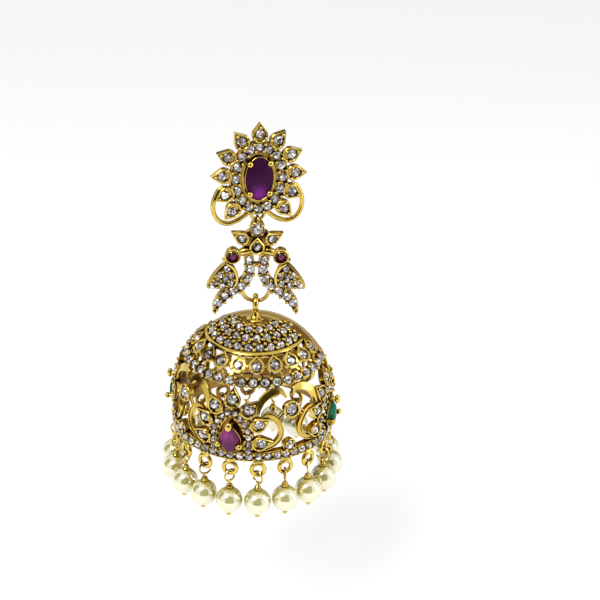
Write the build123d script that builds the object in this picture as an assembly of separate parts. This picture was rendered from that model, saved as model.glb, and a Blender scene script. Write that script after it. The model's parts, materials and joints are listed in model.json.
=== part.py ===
from build123d import *
import math
import os

# A jhumka drop earring: a stud plate with an ear post, a plate of two birds hanging from it,
# and a pierced bell hanging from the birds, with a ring of pearl drops round its rim.
# Millimetres. +Z up, the face looks along -Y, and the origin is where the ear post leaves
# the back of the stud plate. Everything hangs in the plane y = HANG_Y.

# ---- driving dimensions -------------------------------------------------------------------
STUD_THICK = 1.2          # thickness of the stud plate
HANG_Y = -0.6             # plane of the stud's eye, the birds' plate and the bell's axis
POST_R = 0.45             # ear post
POST_LENGTH = 10.5
BIRD_THICK = 1.2          # thickness of the birds' plate
RIM_Z = -40.6             # the bell's rim line
BELL_R = 12.0             # outer radius of the bell
BELL_WALL = 0.8
BELL_STRAIGHT = 5.8       # height of the straight wall, below the half sphere
BELL_TURN = -28.0         # degrees that the bell's front gem is turned from the stud's front
BIRD_TURN = -10.0         # and the birds' plate, with the bell's bail in its loop
PEARL_R = 2.05
PEARL_RING_R = 12.4       # circle on which the pearls hang
PEARL_Z = RIM_Z - 7.05
DROP_COUNT = 18
STONE_GAP = 0.1           # clearance round and under every stone
CELL_FLOOR = 0.05         # a cell's floor stands this far off the surface that carries it
CELL_RISE = 0.45          # height of a cell's wall above that surface
CELL_ROOT = -0.4          # a cell's wall starts this far under that surface
ROUND_REACH = 1.02        # reach of a cell with hardly any tip, as a share of its radius
DRESSED_HALF_TURN = 96.0  # the cap, the cell row and the belt carry stones this far each side

PIVOT_STUD_Z = -6.6       # the lowest point of the stud's eye, where the birds hang
PIVOT_BIRD_Z = -19.95     # the lowest point of the birds' loop, where the bell hangs
WIRE_GAP = 0.05           # play between two interlocked rings

SPHERE_Z = RIM_Z + BELL_STRAIGHT
APEX_Z = SPHERE_Z + BELL_R


# A cut stone's girdle: its height as a share of the stone's, and the sizes of the foot and the
# table as shares of the girdle's
GIRDLE = {"level": 0.35, "foot": 0.94, "table": 0.6}
PEAR_TAPER = 0.42         # how far a pear stone narrows towards its point


# ---- helpers --------------------------------------------------------------------------------
def plate_plane(x, z, y):
    """A plane facing the front, at x, z on a plate whose face is at y."""
    return Plane(origin=(x, y, z), x_dir=(1, 0, 0), z_dir=(0, -1, 0))


def slab(sketch, front, back):
    """A flat plate with that outline in x and z, from y = front to y = back."""
    return extrude(Plane(origin=(0, back, 0), x_dir=(1, 0, 0), z_dir=(0, -1, 0)) * sketch, back - front)


def bell_plane(azimuth, height, lift=0.0):
    """A plane touching the bell at that azimuth from its front gem, in degrees, and height
    above the rim, lifted off the surface. Its x runs round the bell and its y up the wall."""
    a = math.radians(azimuth + BELL_TURN)
    above = max(0.0, height - BELL_STRAIGHT)
    lat = math.asin(min(1.0, above / BELL_R))
    radius = (BELL_R + lift) * math.cos(lat)
    z = RIM_Z + min(height, BELL_STRAIGHT) + (BELL_R + lift) * math.sin(lat)
    normal = (math.cos(lat) * math.sin(a), -math.cos(lat) * math.cos(a), math.sin(lat))
    origin = (radius * math.sin(a), HANG_Y - radius * math.cos(a), z)
    return Plane(origin=origin, x_dir=(math.cos(a), math.sin(a), 0), z_dir=normal)


def teardrop(radius, reach, direction=90.0):
    """A round cell with a pointed tip, reach from its centre in that direction in degrees."""
    bend = math.degrees(math.acos(radius / reach))
    x, y = radius * math.cos(math.radians(bend)), radius * math.sin(math.radians(bend))
    tip = make_face(Polyline((0, 0), (x, y), (reach, 0), (x, -y), close=True))
    return Rot(0, 0, direction) * (Circle(radius) + tip)


def cell(radius, reach, direction, wall, base, height):
    """A raised setting: a pointed cell from base below to height above its plane, hollow for a stone."""
    body = extrude(Pos(0, 0, base) * teardrop(radius, reach, direction), height - base)
    return body - Pos(0, 0, CELL_FLOOR + height / 2) * Cylinder(radius - wall, height)


def cut_stone(radius, height, sides=8, stretch=1.0):
    """A flat-backed cut stone: a girdle, one crown facet for each side and a table."""
    corners = [2 * math.pi * (i + 0.5) / sides for i in range(sides)]

    def outline(r, z):
        points = [(r * math.cos(t), stretch * r * math.sin(t), z) for t in corners]
        return make_face(Polyline(*points, close=True))

    girdle_z = height * GIRDLE["level"]
    girdle = loft([outline(radius * GIRDLE["foot"], 0), outline(radius, girdle_z)], ruled=True)
    crown = loft([outline(radius, girdle_z), outline(radius * GIRDLE["table"], height)], ruled=True)
    return girdle + crown


def pear_stone(width, length, height, sides=12):
    """A cut pear with its point up: the outline of a circle drawn out to a tip."""
    def outline(scale, z):
        points = []
        for i in range(sides):
            t = 2 * math.pi * i / sides
            taper = 1.0 - PEAR_TAPER * max(0.0, math.cos(t)) ** 1.5
            points.append((scale * width / 2 * math.sin(t) * taper, scale * length / 2 * math.cos(t), z))
        return make_face(Polyline(*points, close=True))

    girdle_z = height * GIRDLE["level"]
    girdle = loft([outline(GIRDLE["foot"], 0), outline(1.0, girdle_z)], ruled=True)
    crown = loft([outline(1.0, girdle_z), outline(GIRDLE["table"], height)], ruled=True)
    return girdle + crown


def wire_ring(centre, ring_r, wire_r, normal, start=0.0, sweep_deg=360.0, x_dir=None):
    """A ring of round wire, or an arc of one, about that centre."""
    plane = Plane(origin=centre, x_dir=x_dir, z_dir=normal) if x_dir else Plane(origin=centre, z_dir=normal)
    if sweep_deg >= 360:
        return plane * Torus(ring_r, wire_r)
    arc = plane * CenterArc((0, 0), ring_r, start, sweep_deg)
    section = Plane(origin=arc @ 0, z_dir=arc % 0) * Circle(wire_r)
    return sweep(section, path=arc)


def turned(shape, degrees):
    """That shape, turned about the vertical line that everything hangs on."""
    return Pos(0, HANG_Y, 0) * Rot(0, 0, degrees) * Pos(0, -HANG_Y, 0) * shape


def write(shape, name):
    export_step(shape, f"parts/{name}.step")


def group(stones):
    return Compound(children=list(stones))


# ---- stud -----------------------------------------------------------------------------------
HALO_A, HALO_B = 3.48, 4.75          # half axes of the oval row of small stones
HALO_COUNT = 16
HALO_EDGE = 0.95                     # metal outside that row
OVAL_A, OVAL_B = 2.05, 3.25          # half axes of the main oval stone
OVAL_STONE_HEIGHT = 1.7
STUD_STONE_R, STUD_STONE_HEIGHT = 0.66, 0.45
BACK_PLATE_Y = -STUD_THICK + 0.3     # front of the plate that backs the oval row
PETAL_SEAT_Y = -STUD_THICK + 0.35    # surface that carries the petals' stones
BEZEL_WALL, BEZEL_FRONT_Y = 0.3, -2.0
# The four claws over the oval stone, and the short bars that carry the petals
CLAW = {"x": 1.72, "z": 2.55, "r": 0.3, "length": 1.7}
PETAL_BAR = {"r": 0.5, "length": 0.8, "inward": 1.0, "y": -0.45}
# Petals of the stud on its right half: x, z, the way their tips point in degrees
STUD_PETALS = [
    {"x": 0.0, "z": 6.76, "tip": 90},
    {"x": 2.72, "z": 5.75, "tip": 53},
    {"x": 4.74, "z": 3.45, "tip": 22},
    {"x": 5.42, "z": 0.62, "tip": -2},
    {"x": 4.97, "z": -2.35, "tip": -28},
    {"x": 3.88, "z": -4.9, "tip": -48},
]
PETAL_R, PETAL_REACH, PETAL_WALL = 1.15, 1.6, 0.3
PETAL_ROOT, PETAL_RISE = -STUD_THICK + 0.4, 0.5
SCROLL = {"x": 4.1, "z": -4.45, "r": 2.68, "wire": 0.33, "start": 148.0, "sweep": 194.0}
STUD_EYE_R, STUD_EYE_WIRE = 1.0, 0.25


def halves(rows):
    """Each row of a half pattern, and its mirror image where it isn't on the middle line."""
    out = []
    for row in rows:
        out.append(dict(row))
        if row["x"]:
            out.append({**row, "x": -row["x"], "tip": 180 - row.get("tip", 90)})
    return out


def stud_frame():
    oval = Ellipse(HALO_A + HALO_EDGE, HALO_B + HALO_EDGE)
    frame = slab(oval, BACK_PLATE_Y, 0)
    for p in halves(STUD_PETALS):
        seat = plate_plane(p["x"], p["z"], PETAL_SEAT_Y)
        frame += seat * cell(PETAL_R, PETAL_REACH, p["tip"], PETAL_WALL, PETAL_ROOT, PETAL_RISE)
        share = 1 - PETAL_BAR["inward"] / math.hypot(p["x"], p["z"])
        bar = plate_plane(p["x"] * share, p["z"] * share, PETAL_BAR["y"])
        frame += bar * Cylinder(PETAL_BAR["r"], PETAL_BAR["length"])
    hole_a, hole_b = OVAL_A + STONE_GAP, OVAL_B + STONE_GAP
    bezel = Ellipse(hole_a + BEZEL_WALL, hole_b + BEZEL_WALL) - Ellipse(hole_a, hole_b)
    frame += slab(bezel, BEZEL_FRONT_Y, BACK_PLATE_Y + 0.2)
    for sx in (-1, 1):
        start = SCROLL["start"] if sx < 0 else 180 - SCROLL["start"] - SCROLL["sweep"]
        centre = (sx * SCROLL["x"], HANG_Y, SCROLL["z"])
        frame += wire_ring(
            centre, SCROLL["r"], SCROLL["wire"], (0, -1, 0), start, SCROLL["sweep"], x_dir=(1, 0, 0)
        )
        for sz in (-1, 1):
            claw = plate_plane(sx * CLAW["x"], sz * CLAW["z"], BACK_PLATE_Y + 0.2)
            frame += claw * extrude(Circle(CLAW["r"]), CLAW["length"])
    eye_z = PIVOT_STUD_Z + STUD_EYE_R
    frame += wire_ring((0, HANG_Y, eye_z), STUD_EYE_R, STUD_EYE_WIRE, (0, -1, 0))
    frame += Pos(0, POST_LENGTH / 2, 0) * Rot(90, 0, 0) * Cylinder(POST_R, POST_LENGTH)
    return frame


def stud_stones():
    small = cut_stone(STUD_STONE_R, STUD_STONE_HEIGHT)
    halo_y = BACK_PLATE_Y - STONE_GAP
    halo = []
    for i in range(HALO_COUNT):
        t = 2 * math.pi * i / HALO_COUNT
        halo.append(plate_plane(HALO_A * math.sin(t), HALO_B * math.cos(t), halo_y) * small)
    petal_y = PETAL_SEAT_Y - CELL_FLOOR - STONE_GAP
    petals = [plate_plane(p["x"], p["z"], petal_y) * small for p in halves(STUD_PETALS)]
    oval = plate_plane(0, 0, halo_y) * cut_stone(OVAL_A, OVAL_STONE_HEIGHT, 16, OVAL_B / OVAL_A)
    write(group(halo), "stud_halo_stones")
    write(group(petals), "stud_petal_stones")
    write(oval, "stud_oval_stone")


# ---- birds ----------------------------------------------------------------------------------
LOTUS = [
    {"x": 0.0, "z": -7.85, "tip": 90, "r": 0.9, "reach": 0.95},
    {"x": 2.22, "z": -9.3, "tip": 31, "r": 1.1, "reach": 1.66},
    {"x": 0.0, "z": -10.55, "tip": 90, "r": 1.15, "reach": 1.5},
]
BIRD_EYE = {"x": 3.55, "z": -12.15, "r": 1.15}
# A bird's neck, breast and tail: stone places and the half width of the metal there
BODY = [
    {"x": 1.12, "z": -12.8, "r": 0.78},
    {"x": 0.92, "z": -14.3, "r": 0.76},
    {"x": 1.2, "z": -15.8, "r": 0.78},
    {"x": 2.15, "z": -17.1, "r": 0.82},
    {"x": 3.42, "z": -17.95, "r": 0.86},
    {"x": 4.62, "z": -18.75, "r": 0.84},
    {"x": 5.6, "z": -19.9, "r": 0.72},
]
TAIL_TIP = {"x": 6.2, "z": -21.7, "r": 0.12}
WING = [(4.3, -13.4), (5.9, -14.85), (7.33, -17.2), (5.9, -17.5), (4.2, -17.85), (2.9, -16.65), (3.0, -14.95)]
WING_STONES = [(4.4, -14.4), (5.5, -15.65), (3.85, -15.9), (6.15, -16.8), (4.85, -17.05)]
BEAK = [(4.1, -12.95), (4.65, -12.15), (5.45, -12.95)]
CHEEK = [(0.9, -10.9), (3.0, -11.35), (3.2, -12.55), (0.9, -12.3)]
LOTUS_BACK = [(1.0, -8.1), (1.9, -9.9), (1.2, -11.4)]
BREAST_BAR = {"z": -13.05, "width": 1.0, "height": 0.45}
LOTUS_WALL, EYE_WALL, EYE_RISE = 0.22, 0.3, 0.7
BIRD_LOOP_R, BIRD_WIRE = 2.05, 0.25
BIRD_LOOP_START, BIRD_LOOP_SWEEP = 185, 170
TOP_RING_R, TOP_RING_WIRE = 0.6, 0.2
BIRD_STONE = {"r": 0.58, "height": 0.4}
LOTUS_STONE = {"r": 0.62, "height": 0.45}
EYE_STONE = {"r": 0.72, "height": 0.75}


def mirrored(points, side):
    return [(side * x, z) for x, z in points]


def bird_frame():
    front, back = HANG_Y - BIRD_THICK / 2, HANG_Y + BIRD_THICK / 2
    flat = None
    for side in (-1, 1):
        spine = [(side * b["x"], b["z"], b["r"]) for b in BODY + [TAIL_TIP]]
        for (x0, z0, r0), (x1, z1, r1) in zip(spine, spine[1:]):
            edges = (Pos(x0, z0) * Circle(r0)).edges() + (Pos(x1, z1) * Circle(r1)).edges()
            flat = make_hull(edges) if flat is None else flat + make_hull(edges)
        for points in (WING, BEAK, CHEEK):
            flat += make_face(Polyline(*mirrored(points, side), close=True))
        flat += Pos(side * BIRD_EYE["x"], BIRD_EYE["z"]) * Circle(BIRD_EYE["r"])
    for p in halves(LOTUS):
        flat += Pos(p["x"], p["z"]) * teardrop(p["r"], p["reach"], p["tip"])
    flat += Pos(0, BREAST_BAR["z"]) * Rectangle(BREAST_BAR["width"], BREAST_BAR["height"])
    back_corners = LOTUS_BACK + mirrored(LOTUS_BACK, -1)[::-1]
    flat += make_face(Polyline(*back_corners, close=True))
    frame = slab(flat, front, back)
    for p in halves(LOTUS):
        seat = plate_plane(p["x"], p["z"], front)
        frame += seat * cell(p["r"], p["reach"], p["tip"], LOTUS_WALL, CELL_ROOT, CELL_RISE)
    for side in (-1, 1):
        eye = plate_plane(side * BIRD_EYE["x"], BIRD_EYE["z"], front)
        frame += eye * cell(BIRD_EYE["r"], BIRD_EYE["r"] * ROUND_REACH, 90, EYE_WALL, CELL_ROOT, EYE_RISE)
    loop_centre = (0, HANG_Y, PIVOT_BIRD_Z + BIRD_LOOP_R)
    frame += wire_ring(
        loop_centre, BIRD_LOOP_R, BIRD_WIRE, (0, -1, 0), BIRD_LOOP_START, BIRD_LOOP_SWEEP, x_dir=(1, 0, 0)
    )
    ring_z = PIVOT_STUD_Z + STUD_EYE_WIRE + TOP_RING_WIRE + WIRE_GAP - TOP_RING_R
    ring = wire_ring((0, HANG_Y, ring_z), TOP_RING_R, TOP_RING_WIRE, (1, 0, 0))
    return turned(frame, BIRD_TURN) + ring


def bird_stones():
    front = HANG_Y - BIRD_THICK / 2 - STONE_GAP
    small = cut_stone(BIRD_STONE["r"], BIRD_STONE["height"])
    lotus = cut_stone(LOTUS_STONE["r"], LOTUS_STONE["height"])
    gem = cut_stone(EYE_STONE["r"], EYE_STONE["height"])
    body = [plate_plane(p["x"], p["z"], front - CELL_FLOOR) * lotus for p in halves(LOTUS)]
    wing = []
    for side in (-1, 1):
        body += [plate_plane(side * b["x"], b["z"], front) * small for b in BODY]
        wing += [plate_plane(side * x, z, front) * small for x, z in WING_STONES]
    write(group([turned(stone, BIRD_TURN) for stone in body]), "bird_body_stones")
    write(group([turned(stone, BIRD_TURN) for stone in wing]), "bird_wing_stones")
    for side, name in ((-1, "left"), (1, "right")):
        eye = plate_plane(side * BIRD_EYE["x"], BIRD_EYE["z"], front - CELL_FLOOR) * gem
        write(turned(eye, BIRD_TURN), f"bird_eye_{name}")


# ---- bell -----------------------------------------------------------------------------------
MOTIF_TURNS = (0.0, 90.0, 180.0, 270.0)
GEM_NAMES = ("ruby_front", "emerald_right", "ruby_back", "emerald_left")
PEAR = {"width": 3.0, "length": 4.0, "height": 1.3, "z": 3.7}
# Prongs round each large gem: azimuth from it and height above the rim
PRONGS = [(0.0, 6.15), (-8.0, 2.7), (8.0, 2.7)]
PRONG_R, PRONG_TOP = 0.28, 1.2
HALO_ARCH = [(0.0, 7.95), (6.6, 7.1), (10.5, 5.95), (11.9, 4.7), (12.4, 3.4)]
# Petal cells of half a motif: azimuth, height, the way the tip points in degrees
BELL_PETALS = [
    {"x": 0.0, "z": 9.9, "tip": 90},
    {"x": 13.2, "z": 8.65, "tip": 48},
    {"x": 20.8, "z": 6.25, "tip": 32},
    {"x": 22.3, "z": 3.05, "tip": 10},
]
BELL_PETAL_R, BELL_PETAL_REACH, BELL_CELL_WALL = 1.08, 1.5, 0.25
BETWEEN = [{"x": 45.0, "z": 8.1, "r": 1.1}, {"x": 45.0, "z": 2.4, "r": 0.95}]
# Gaps of half a motif, as azimuth and height of their corners
GAPS = {
    "over_petals": [
        (4.5, 11.2), (6.8, 10.2), (7.4, 9.8), (9.6, 9.75), (14, 10.1),
        (19.5, 10.15), (22.5, 9.8), (25.5, 10.7), (28.5, 11.2),
    ],
    "in_arch": [
        (25.6, 7.7), (26.8, 8.9), (29.5, 9.6), (34, 10.15), (38, 10.1), (40.6, 9.5),
        (39.4, 8.9), (38.8, 8.0), (39.2, 7.4), (35.5, 6.95), (32.5, 6.95), (28.5, 7.4),
    ],
    "in_scroll": [
        (28.6, 6.1), (32, 5.8), (34.9, 4.9), (34.9, 3.75), (32.8, 3.0),
        (31, 3.3), (28.8, 3.7), (26.5, 4.2), (25.5, 4.6), (27.3, 5.3),
    ],
    "beside_top_petal": [(4.6, 8.55), (8.0, 7.95), (7.4, 9.0)],
    "beside_halo": [(12.6, 7.2), (15.0, 6.9), (15.6, 7.5)],
    "between_petals": [(16.6, 5.1), (18.3, 4.75), (16.8, 4.2)],
    "under_scroll": [(36.8, 2.25), (40.0, 2.9), (40.2, 1.75), (35, 1.75)],
}
MIDDLE_GAPS = {
    "between_scrolls": [
        (37.2, 6.2), (38.6, 5.0), (38.6, 3.8), (41, 3.5), (45, 3.65), (49, 3.5),
        (51.4, 3.8), (51.4, 5.0), (52.8, 6.2), (50, 6.6), (45, 6.5), (40, 6.6),
    ],
    "between_arches": [(40.8, 10.75), (45, 10.3), (49.2, 10.75), (47.5, 11.25), (42.5, 11.25)],
}
ROW_STEP, ROW_Z, ROW_CELL_R, ROW_CELL_REACH = 18.0, 14.2, 1.08, 1.35
ROW_GAP_UP = [(-0.72, 1.35), (0.72, 1.35), (0.58, 0.9), (0.26, 0.42), (-0.26, 0.42), (-0.58, 0.9)]
ROW_GAP_DOWN = [(-1.0, -1.3), (1.0, -1.3), (0.68, -0.92), (0.3, -0.42), (-0.3, -0.42), (-0.68, -0.92)]
BELT_STEP, BELT_Z = 10.0, 12.25
CAP_ROWS = [{"z": 15.95, "count": 24}, {"z": 16.75, "count": 19}, {"z": 17.35, "count": 13}]
# Raised bands of the bell: heights above the rim and how far they stand out
RIM_BAND = {"low": -0.4, "high": 1.6, "out": 0.3}
BELT_BAND = {"low": 11.55, "high": 12.9, "out": 0.12}
CAP_LINE = {"low": 15.3, "high": 15.55, "out": 0.3}
RIM_SLOPE = 0.15
SMALL_STONE = {"r": 0.52, "height": 0.4}
CELL_STONE = {"r": 0.7, "height": 0.45}
CUT_FROM, CUT_DEEP = -6.0, 7.0        # the openings' cutters, from the outer surface
DROP_RING_R, DROP_RING_WIRE, DROP_RING_Z = 1.0, 0.3, -1.45
DROP_RING_AT = 12.05
BAIL_R, BAIL_WIRE = 0.75, 0.3
# The flared foot under the bail: radii at its foot, waist and top, and heights above its foot
FINIAL = {"foot_r": 1.25, "waist_r": 0.62, "top_r": 0.42, "sunk": 0.25, "edge": 0.35, "waist": 0.85}


def bell_profile():
    """Half section of the bell, in radius and z."""
    def at(height, radius):
        lat = math.asin((height - BELL_STRAIGHT) / BELL_R)
        return (radius * math.cos(lat), SPHERE_Z + radius * math.sin(lat))

    def arc(low, high, radius):
        return ThreePointArc(at(low, radius), at((low + high) / 2, radius), at(high, radius))

    rim_r, belt_r, line_r = (BELL_R + band["out"] for band in (RIM_BAND, BELT_BAND, CAP_LINE))
    inner_r = BELL_R - BELL_WALL
    crown, side = (0, SPHERE_Z + inner_r), (inner_r, SPHERE_Z)
    shoulder = (inner_r * math.sqrt(0.5), SPHERE_Z + inner_r * math.sqrt(0.5))
    return [
        Line((inner_r, RIM_Z + RIM_BAND["low"]), (rim_r, RIM_Z + RIM_BAND["low"])),
        Line((rim_r, RIM_Z + RIM_BAND["low"]), (rim_r, RIM_Z + RIM_BAND["high"])),
        Line((rim_r, RIM_Z + RIM_BAND["high"]), (BELL_R, RIM_Z + RIM_BAND["high"] + RIM_SLOPE)),
        Line((BELL_R, RIM_Z + RIM_BAND["high"] + RIM_SLOPE), (BELL_R, SPHERE_Z)),
        arc(BELL_STRAIGHT, BELT_BAND["low"], BELL_R),
        Line(at(BELT_BAND["low"], BELL_R), at(BELT_BAND["low"], belt_r)),
        arc(BELT_BAND["low"], BELT_BAND["high"], belt_r),
        Line(at(BELT_BAND["high"], belt_r), at(BELT_BAND["high"], BELL_R)),
        arc(BELT_BAND["high"], CAP_LINE["low"], BELL_R),
        Line(at(CAP_LINE["low"], BELL_R), at(CAP_LINE["low"], line_r)),
        arc(CAP_LINE["low"], CAP_LINE["high"], line_r),
        Line(at(CAP_LINE["high"], line_r), at(CAP_LINE["high"], BELL_R)),
        arc(CAP_LINE["high"], BELL_STRAIGHT + BELL_R, BELL_R),
        Line((0, APEX_Z), crown),
        ThreePointArc(crown, shoulder, side),
        Line(side, (inner_r, RIM_Z + RIM_BAND["low"])),
    ]


def wall_cutter(corners, turn):
    """A prism through the wall, square to it at the middle of the corners."""
    middle = sum(a for a, _ in corners) / len(corners)
    a0 = math.radians(turn + middle + BELL_TURN)
    across, out = (math.cos(a0), math.sin(a0), 0), (math.sin(a0), -math.cos(a0), 0)
    plane = Plane(origin=(0, HANG_Y, RIM_Z), x_dir=across, z_dir=out)
    points = []
    for azimuth, height in corners:
        lat = math.asin(max(0.0, height - BELL_STRAIGHT) / BELL_R)
        points.append((BELL_R * math.cos(lat) * math.sin(math.radians(azimuth - middle)), height))
    face = make_face(Polyline(*points, close=True))
    return extrude(plane * Pos(0, 0, BELL_R + CUT_FROM) * face, CUT_DEEP)


def flipped(corners):
    return [(-a, z) for a, z in reversed(corners)]


def bell_cutters():
    cutters = []
    for turn in MOTIF_TURNS:
        for corners in GAPS.values():
            cutters.append(wall_cutter(corners, turn))
            cutters.append(wall_cutter(flipped(corners), turn))
        for corners in MIDDLE_GAPS.values():
            cutters.append(wall_cutter(corners, turn))
    steps = int(DRESSED_HALF_TURN // ROW_STEP)
    for k in range(-steps, steps):
        plane = bell_plane((k + 0.5) * ROW_STEP, ROW_Z, -1.5)
        for corners in (ROW_GAP_UP, ROW_GAP_DOWN):
            cutters.append(extrude(plane * make_face(Polyline(*corners, close=True)), 2.0))
    return cutters


def motif_cells():
    """Places of the bell's single-stone cells: azimuth, height, tip, radius, reach."""
    places = []
    for turn in MOTIF_TURNS:
        for p in halves(BELL_PETALS):
            places.append((turn + p["x"], p["z"], p["tip"], BELL_PETAL_R, BELL_PETAL_REACH))
        for p in BETWEEN:
            places.append((turn + p["x"], p["z"], 90, p["r"], p["r"] * ROUND_REACH))
    return places


def row_azimuths():
    steps = int(DRESSED_HALF_TURN // ROW_STEP)
    return [k * ROW_STEP for k in range(-steps, steps + 1)]


def belt_azimuths():
    steps = int((DRESSED_HALF_TURN - BELT_STEP / 2) // BELT_STEP)
    return [(k + 0.5) * BELT_STEP for k in range(-steps - 1, steps + 1)]


def finial():
    """The bell-shaped foot on the cap and the bail above it."""
    top = PIVOT_BIRD_Z + BIRD_WIRE + WIRE_GAP + BAIL_WIRE - 2 * BAIL_R
    foot = APEX_Z - FINIAL["sunk"]
    edge = (FINIAL["foot_r"], foot + FINIAL["edge"])
    profile = [
        Line((0, foot), (FINIAL["foot_r"], foot)),
        Line((FINIAL["foot_r"], foot), edge),
        ThreePointArc(edge, (FINIAL["waist_r"], foot + FINIAL["waist"]), (FINIAL["top_r"], top)),
        Line((FINIAL["top_r"], top), (0, top)),
        Line((0, top), (0, foot)),
    ]
    body = Pos(0, HANG_Y, 0) * revolve(Plane.XZ * make_face(profile), axis=Axis.Z)
    bail = wire_ring((0, HANG_Y, top + BAIL_R), BAIL_R, BAIL_WIRE, (1, 0, 0))
    return body + turned(bail, BIRD_TURN)


def bell_shell():
    shell = Pos(0, HANG_Y, 0) * revolve(Plane.XZ * make_face(bell_profile()), axis=Axis.Z)
    extras = []
    for azimuth, height, tip, radius, reach in motif_cells():
        setting = cell(radius, reach, tip, BELL_CELL_WALL, CELL_ROOT, CELL_RISE)
        extras.append(bell_plane(azimuth, height) * setting)
    row_setting = cell(ROW_CELL_R, ROW_CELL_REACH, 90, BELL_CELL_WALL, CELL_ROOT, CELL_RISE)
    for azimuth in row_azimuths():
        extras.append(bell_plane(azimuth, ROW_Z) * row_setting)
    prong = extrude(Pos(0, 0, CELL_ROOT) * Circle(PRONG_R), PRONG_TOP - CELL_ROOT)
    for turn in MOTIF_TURNS:
        for azimuth, height in PRONGS:
            extras.append(bell_plane(turn + azimuth, height) * prong)
    for k in range(DROP_COUNT):
        a = math.radians(BELL_TURN + k * 360 / DROP_COUNT)
        centre = (DROP_RING_AT * math.sin(a), HANG_Y - DROP_RING_AT * math.cos(a), RIM_Z + DROP_RING_Z)
        extras.append(wire_ring(centre, DROP_RING_R, DROP_RING_WIRE, (math.sin(a), -math.cos(a), 0)))
    extras.append(finial())
    return shell + extras - bell_cutters()


def bell_stones():
    small = cut_stone(SMALL_STONE["r"], SMALL_STONE["height"])
    cell_stone = cut_stone(CELL_STONE["r"], CELL_STONE["height"])
    halo = []
    for turn in MOTIF_TURNS:
        for azimuth, height in HALO_ARCH:
            for side in (-1, 1) if azimuth else (1,):
                halo.append(bell_plane(turn + side * azimuth, height, STONE_GAP) * small)
    write(group(halo), "bell_halo_stones")
    seat = CELL_FLOOR + STONE_GAP
    petals = [bell_plane(a, z, seat) * cell_stone for a, z, _, _, _ in motif_cells()]
    write(group(petals), "bell_petal_stones")
    row = [bell_plane(a, ROW_Z, seat) * cell_stone for a in row_azimuths()]
    write(group(row), "bell_row_stones")
    belt = [bell_plane(a, BELT_Z, STONE_GAP + BELT_BAND["out"]) * small for a in belt_azimuths()]
    write(group(belt), "bell_belt_stones")
    cap = []
    for row_of in CAP_ROWS:
        step = 360 / row_of["count"]
        for k in range(row_of["count"]):
            azimuth = (k + 0.5) * step - 180
            if abs(azimuth) < DRESSED_HALF_TURN:
                cap.append(bell_plane(azimuth, row_of["z"], STONE_GAP) * small)
    write(group(cap), "bell_cap_stones")
    gem = pear_stone(PEAR["width"], PEAR["length"], PEAR["height"])
    for turn, name in zip(MOTIF_TURNS, GEM_NAMES):
        write(bell_plane(turn, PEAR["z"], STONE_GAP + RIM_BAND["out"]) * gem, f"bell_{name}")


# ---- pearl drops ----------------------------------------------------------------------------
PIN_R, BORE_R, PIN_LOOP_R, PIN_BALL_R = 0.18, 0.28, 0.95, 0.42
# A collar sits on each pearl, and the stem ends in a ball this far under it
COLLAR = {"r": 0.5, "height": 0.5, "gap": 0.1}
STEM_END = 0.3


def drops():
    """Each drop: a head pin looped through its rim ring, with a bored pearl on it."""
    ring_low = RIM_Z + DROP_RING_Z - DROP_RING_R
    loop_top = ring_low + DROP_RING_WIRE + WIRE_GAP + PIN_R
    loop_z = loop_top - PIN_LOOP_R
    lean = math.degrees(math.atan2(PEARL_RING_R - DROP_RING_AT, loop_z - PEARL_Z))
    reach = math.hypot(PEARL_RING_R - DROP_RING_AT, loop_z - PEARL_Z)
    stem_top, stem_low = -PIN_LOOP_R, -reach - PEARL_R - STEM_END
    pin = Rot(0, 90, 0) * Torus(PIN_LOOP_R, PIN_R)
    pin += Pos(0, 0, (stem_top + stem_low) / 2) * Cylinder(PIN_R, stem_top - stem_low)
    collar_z = -reach + PEARL_R + COLLAR["gap"] + COLLAR["height"] / 2
    pin += Pos(0, 0, collar_z) * Cylinder(COLLAR["r"], COLLAR["height"])
    pin += Pos(0, 0, stem_low) * Sphere(PIN_BALL_R)
    pearl = Pos(0, 0, -reach) * (Sphere(PEARL_R) - Cylinder(BORE_R, 3 * PEARL_R))
    for k in range(DROP_COUNT):
        turn = BELL_TURN + k * 360 / DROP_COUNT
        place = Pos(0, HANG_Y, 0) * Rot(0, 0, turn) * Pos(0, -DROP_RING_AT, loop_z) * Rot(-lean, 0, 0)
        write(place * pin, f"head_pin_{k + 1:02d}")
        write(place * pearl, f"pearl_{k + 1:02d}")


def main():
    os.makedirs("parts", exist_ok=True)
    write(stud_frame(), "stud_frame")
    stud_stones()
    write(bird_frame(), "bird_frame")
    bird_stones()
    write(bell_shell(), "bell_shell")
    bell_stones()
    drops()


main()
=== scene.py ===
import json
from math import acos, asin, atan2, cos, degrees, hypot, pi, radians, sin

import bpy
import numpy as np
from mathutils import Matrix, Vector


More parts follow.
